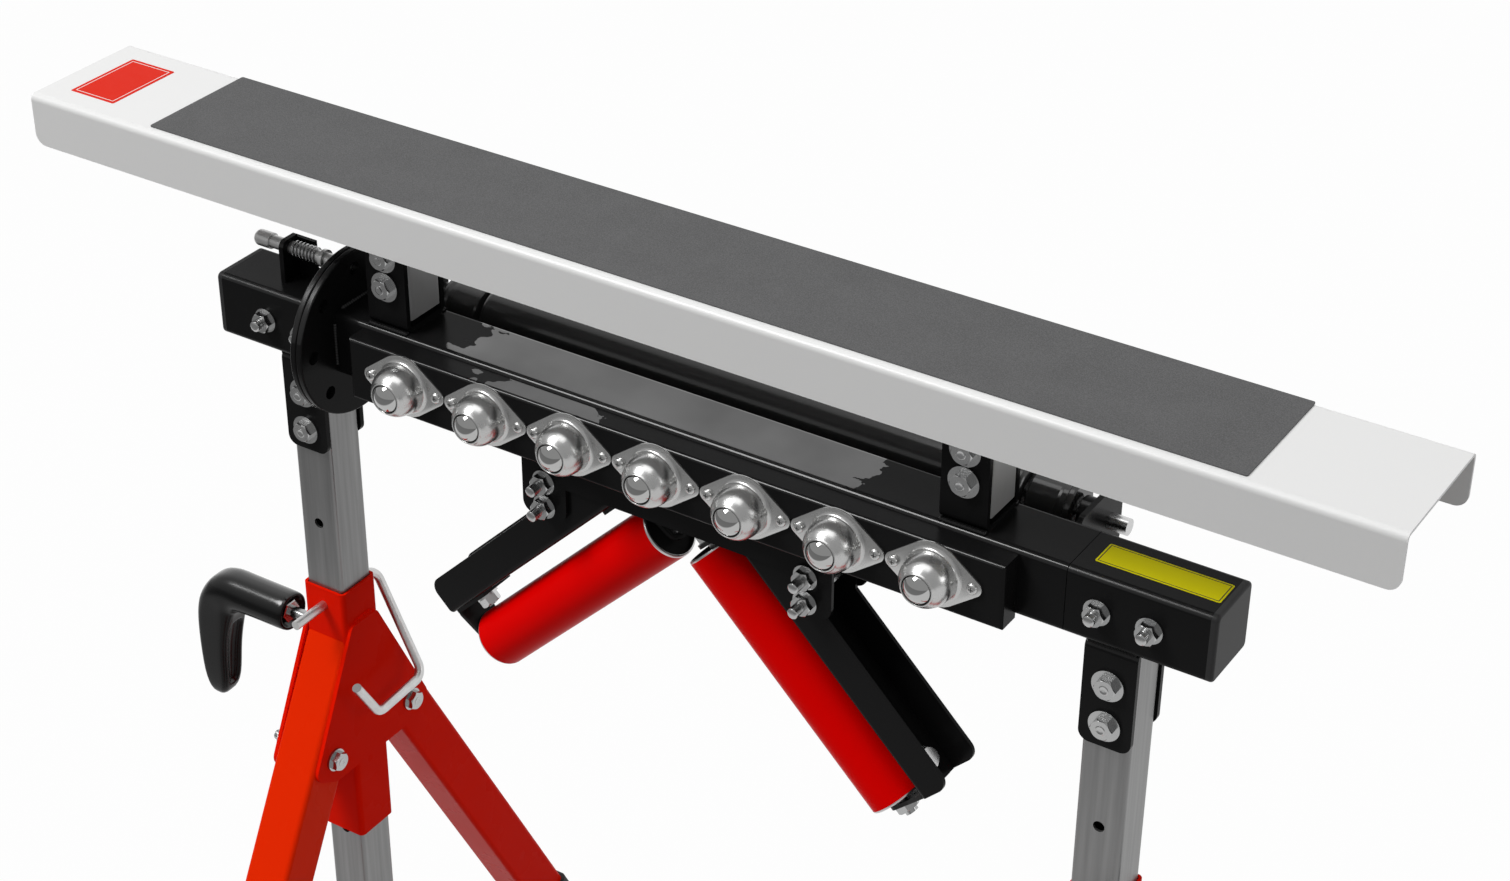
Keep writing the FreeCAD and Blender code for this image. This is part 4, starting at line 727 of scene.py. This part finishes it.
gusset_weld_rise = 0.1085
gusset_half = 0.0205
short_bead = bead("short_bead", length=0.018)
for side in ways:
    gusset_tops = [((leg_x[side] + offset, 0, pivot_z + gusset_weld_rise), "y")
                   for offset in (-gusset_half, gusset_half)]
    gusset_welds = spread(short_bead, f"gusset_welds_{side}", gusset_tops)
    complete(gusset_welds, shade_deepened_red, f"sleeve_{side}", weld_smooth)
discard(short_bead)


# Each clamp handle is one moulding in black plastic: a long round boss on the screw that
# turns down into a flatter, tapering lever. The lever's inner face is hollowed, and a steel
# nut sits in the boss's open end.

handle_black = Finish("moulded_handle", colour=(0.006, 0.006, 0.0061), coat_roughness=0.2,
                      shine=0.1)
handle_black.paint("Roughness", handle_black.noise(grain=0.01, detail=3.0).between(0.17, 0.27))
handle_black.paint("Coat Weight", handle_black.ramp(handle_black.facing("Z"), 0.25, 0.75))
handle_black.bump(handle_black.noise(grain=0.0008), distance=0.00003)

clamp_z = 0.4715
boss_outer_end = -0.423
boss_inner_end = -0.374
recess_top = clamp_z - 0.030
recess_bottom = clamp_z - 0.099
nut_depth = 0.0050

# How far each section is out and down from the boss's outer end, its half thickness and
# half width, how round its corners are, and the path's turn there in degrees
lever_sections = [
    (-0.0478, 0.0, 0.0165, 0.0165, 0.98, 0), (-0.034, 0.0, 0.0165, 0.0165, 0.98, 0),
    (-0.014, 0.0, 0.0165, 0.0165, 0.98, 0), (0.0015, 0.0003, 0.0166, 0.0165, 0.95, 3),
    (0.0085, 0.0008, 0.0176, 0.0164, 0.90, 12), (0.0147, 0.0028, 0.0186, 0.0162, 0.84, 27),
    (0.0194, 0.0058, 0.0181, 0.0160, 0.76, 41), (0.0231, 0.0100, 0.0175, 0.0156, 0.68, 53),
    (0.0258, 0.0148, 0.0174, 0.0152, 0.60, 63), (0.0280, 0.0200, 0.0172, 0.0149, 0.52, 70),
    (0.0300, 0.0275, 0.0166, 0.0145, 0.44, 75), (0.0315, 0.0360, 0.0158, 0.0142, 0.38, 79),
    (0.0337, 0.0510, 0.0143, 0.0136, 0.36, 83), (0.0351, 0.0700, 0.0129, 0.0129, 0.36, 87),
    (0.0355, 0.0890, 0.0122, 0.0120, 0.38, 90), (0.0356, 0.1010, 0.0105, 0.0109, 0.46, 90),
    (0.0360, 0.1080, 0.0078, 0.0090, 0.60, 90), (0.0365, 0.1115, 0.0045, 0.0060, 0.80, 90)]


def section(out, down, thick, wide, rounding, turn):
    """A ring of the handle, square to its path at one place."""
    bpy.ops.object.select_all(action="DESELECT")
    bpy.ops.mesh.primitive_plane_add(size=2, location=(boss_outer_end - out, 0, clamp_z - down))
    ring = bpy.context.object
    bpy.ops.object.mode_set(mode="EDIT")
    bpy.ops.mesh.select_all(action="SELECT")
    bpy.ops.mesh.bevel(affect="VERTICES", offset=rounding, segments=7)
    bpy.ops.mesh.delete(type="ONLY_FACE")
    bpy.ops.object.mode_set(mode="OBJECT")
    ring.scale = (thick, wide, 1)
    ring.rotation_euler = (0, math.radians(-90 - turn), 0)
    settle(ring)
    return ring


def pick(piece, wanted):
    """Edit a piece with only the wanted faces selected."""
    bpy.context.view_layer.objects.active = piece
    bpy.ops.object.mode_set(mode="EDIT")
    bpy.ops.mesh.select_mode(type="FACE")
    bpy.ops.mesh.select_all(action="DESELECT")
    bpy.ops.object.mode_set(mode="OBJECT")
    for face in piece.data.polygons:
        face.select = wanted(face)
    bpy.ops.object.mode_set(mode="EDIT")


def on_inner_face(face):
    """Whether a face lies on the flat of the lever that looks at the post."""
    flat = face.normal.x > 0.9 and abs(face.normal.y) < 0.05
    return flat and recess_bottom < face.center.z < recess_top


def on_open_end(face):
    """Whether a face is the round one that closes the boss at the screw."""
    return face.normal.x > 0.99 and len(face.vertices) > 16


rings = [section(*values) for values in lever_sections]
for ring in rings:
    ring.select_set(True)
bpy.ops.object.join()
handle = bpy.context.object
handle.name = "moulded_handle_left"
bpy.ops.object.mode_set(mode="EDIT")
bpy.ops.mesh.select_all(action="SELECT")
bpy.ops.mesh.bridge_edge_loops()
bpy.ops.mesh.select_all(action="SELECT")
bpy.ops.mesh.fill_holes(sides=0)
bpy.ops.mesh.select_all(action="SELECT")
bpy.ops.mesh.normals_make_consistent(inside=False)
bpy.ops.object.mode_set(mode="OBJECT")
pick(handle, on_inner_face)
bpy.ops.mesh.inset(thickness=0.0010)
bpy.ops.mesh.inset(thickness=0.0008, depth=-0.0040)
bpy.ops.object.mode_set(mode="OBJECT")
pick(handle, on_open_end)
bpy.ops.mesh.inset(thickness=0.0012, depth=0.0012)
bpy.ops.mesh.inset(thickness=0.0026)
bpy.ops.mesh.inset(thickness=0.0004, depth=-0.006)
bpy.ops.object.mode_set(mode="OBJECT")
smoothing = handle.modifiers.new("smoothing", "SUBSURF")
smoothing.levels = smoothing.render_levels = 1
bpy.ops.object.modifier_apply(modifier="smoothing")

other_handle = bpy.data.objects.new("moulded_handle_right", handle.data.copy())
bpy.context.scene.collection.objects.link(other_handle)
bpy.ops.object.select_all(action="DESELECT")
other_handle.select_set(True)
bpy.context.view_layer.objects.active = other_handle
bpy.ops.object.mode_set(mode="EDIT")
bpy.ops.mesh.select_all(action="SELECT")
bpy.ops.transform.resize(value=(-1, 1, 1), center_override=(head_x, 0, 0))
bpy.ops.mesh.remove_doubles()
bpy.ops.mesh.normals_make_consistent(inside=False)
bpy.ops.object.mode_set(mode="OBJECT")

insert = turned("insert", 6, [(0.0090, -0.004), (0.0098, 0.0005), (0.0098, 0.0030),
                              (0.0088, 0.0036), (0.0060, 0.0036)])
left_nut_x = boss_inner_end - nut_depth
right_nut_x = 2 * head_x - left_nut_x
for piece, side, nut_x, lay in ((handle, "left", left_nut_x, "x"),
                                (other_handle, "right", right_nut_x, "-x")):
    complete(piece, handle_black, f"clamp_{side}", 50)
    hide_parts(f"clamp_handle_{side}")
    nut = spread(insert, f"handle_nut_{side}", [((nut_x, 0, clamp_z), lay)])
    complete(nut, zinc, f"clamp_{side}", 20)
discard(insert)


# The feet are moulded in black rubber, dull and slightly rough, and pushed on the ends of
# the legs.

foot_rubber = Finish("foot_rubber", colour=(0.022, 0.022, 0.022), roughness=0.75)
foot_rubber.bump(foot_rubber.noise(grain=0.0012, detail=3.0), distance=0.00008)
dress(foot_rubber, "foot_front_left", "foot_front_right", "foot_back_left", "foot_back_right")


# Two thin stickers lie on the paint, a red-orange one on the table's left end and a yellow
# one on the right housing. They are plain, with only a line inside their edge.

sticker_thick = 0.0002
sticker_corner = 0.0012
line_width = 0.0007
stickers = (
    {"name": "table_sticker", "centre": (-0.494, 0, 0.9055), "size": (0.042, 0.066),
     "ground": (0.74, 0.016, 0.001, 1), "line": (0.85, 0.84, 0.82, 1), "inset": 0.0026,
     "body": "head", "slot": "leg_red"},
    {"name": "housing_sticker", "centre": (0.36725, 0.00125, 0.7855), "size": (0.0865, 0.0225),
     "ground": (1.0, 0.90, 0.001, 1), "line": (0.03, 0.03, 0.03, 1), "inset": 0.0012,
     "body": "frame", "slot": "table_white"})
for plan in stickers:
    bpy.ops.object.select_all(action="DESELECT")
    bpy.ops.mesh.primitive_plane_add(size=1, location=plan["centre"])
    sticker = bpy.context.object
    sticker.name = plan["name"]
    sticker.scale = (*plan["size"], 1)
    settle(sticker)
    bpy.ops.object.mode_set(mode="EDIT")
    bpy.ops.mesh.select_all(action="SELECT")
    bpy.ops.mesh.bevel(affect="VERTICES", offset=sticker_corner, segments=5)
    bpy.ops.mesh.extrude_region_move(TRANSFORM_OT_translate={"value": (0, 0, sticker_thick)})
    bpy.ops.mesh.select_all(action="SELECT")
    bpy.ops.mesh.normals_make_consistent(inside=False)
    bpy.ops.object.mode_set(mode="OBJECT")
    vinyl = Finish(f"vinyl_{plan['name']}", shine=0.05)
    to_edges = [extent / 2 - (vinyl.along(axis) - middle).size()
                for axis, extent, middle in zip("XY", plan["size"], plan["centre"])]
    to_edge = vinyl.math("MINIMUM", *to_edges)
    line = (to_edge > plan["inset"]) * (to_edge < plan["inset"] + line_width)
    vinyl.paint("Base Color", vinyl.mix(line, plan["ground"], plan["line"]))
    vinyl.paint("Roughness", vinyl.noise(grain=0.008, detail=3.0).between(0.30, 0.42))
    vinyl.bump(vinyl.noise(grain=0.004), distance=0.00002)
    complete(sticker, vinyl, plan["body"])


# A pale studio: an even grey world, a wide soft lamp overhead, a smaller and stronger one
# high on the left in front, and a weak one from the right. Floor and world are white to the
# camera. Metal shows them white behind the object and dimmer on the lamps' side of the room.

world_level = 0.27
room_level = 0.29
wall_start = -0.1
wall_end = 0.4
floor_level = 0.35
floor_half = 40
floor_camera_share = 0.98
floor_mirror_share = 0.9
paper_edge = -1.2
paper_fade = 0.25
paper_slant = 0.5

world = bpy.data.worlds.new("studio")
bpy.context.scene.world = world
world.use_nodes = True
sky = Tree(world.node_tree)
sky_ray, mirror_ray, glass_ray = [
    sky.node("ShaderNodeLightPath", {}, {}, f"Is {kind} Ray")
    for kind in ("Camera", "Glossy", "Transmission")]
direction = sky.node("ShaderNodeTexCoord", {}, {}, "Generated")
backwards = sky.node("ShaderNodeSeparateXYZ", {}, {0: direction}, "Y")
backdrop = sky.node("ShaderNodeMapRange", {}, {
    "Value": backwards, "From Min": wall_start, "From Max": wall_end, "To Min": room_level})
mirrored = sky.math("MAXIMUM", mirror_ray, glass_ray) * backdrop
seen = sky.math("MAXIMUM", sky_ray, mirrored)
strength = sky.node("ShaderNodeMapRange", {}, {"Value": seen, "To Min": world_level})
background = world.node_tree.nodes["Background"]
background.inputs["Color"].default_value = (1, 1, 1, 1)
sky.feed(background.inputs["Strength"], strength)

bpy.ops.mesh.primitive_plane_add(size=2 * floor_half, location=(0, 0, 0))
floor = bpy.context.object
floor.name = "studio_floor"
floor_finish = Finish("studio_floor", colour=(floor_level, floor_level, floor_level),
                      roughness=0.9)
floor_ray = floor_finish.node("ShaderNodeLightPath", {}, {}, "Is Camera Ray")
floor_shine = floor_finish.node("ShaderNodeLightPath", {}, {}, "Is Glossy Ray")
paper_place = floor_finish.along("Y") + floor_finish.along("X") * paper_slant
paper = floor_finish.node("ShaderNodeMapRange", {}, {
    "Value": paper_place, "From Min": paper_edge, "From Max": paper_edge + paper_fade,
    "To Min": room_level})
paper_white = floor_finish.math("MAXIMUM", paper, floor_ray)
bright_floor = floor_finish.node("ShaderNodeEmission", {}, {"Color": paper_white})
lit_floor = Number(floor_finish, floor_finish.shader.outputs[0])
bright_share = floor_ray * floor_camera_share + floor_shine * floor_mirror_share
floor_mix = floor_finish.node("ShaderNodeMixShader", {}, {
    0: bright_share, 1: lit_floor, 2: bright_floor})
floor_output = floor_finish.node_tree.nodes["Material Output"]
floor_finish.feed(floor_output.inputs["Surface"], floor_mix)
floor.data.materials.append(floor_finish.material)


def lamp(name, place, target, size, power):
    """A square soft lamp that faces a point."""
    light = bpy.data.lights.new(name, "AREA")
    light.size = size
    light.energy = power
    made = bpy.data.objects.new(name, light)
    bpy.context.scene.collection.objects.link(made)
    made.location = place
    made.rotation_mode = "QUATERNION"
    made.rotation_quaternion = (Vector(target) - Vector(place)).to_track_quat("-Z", "Y")


lamp("lamp_over_table", (0, -0.3, 3.4), target=(0, 0, 0.8), size=2.0, power=20)
lamp("lamp_from_left", (-2.2, -2.3, 4.5), target=(0, 0, 0.7), size=1.7, power=132)
lamp("lamp_from_right", (2.7, 0.3, 1.75), target=(0, 0, 0.7), size=1.0, power=8)
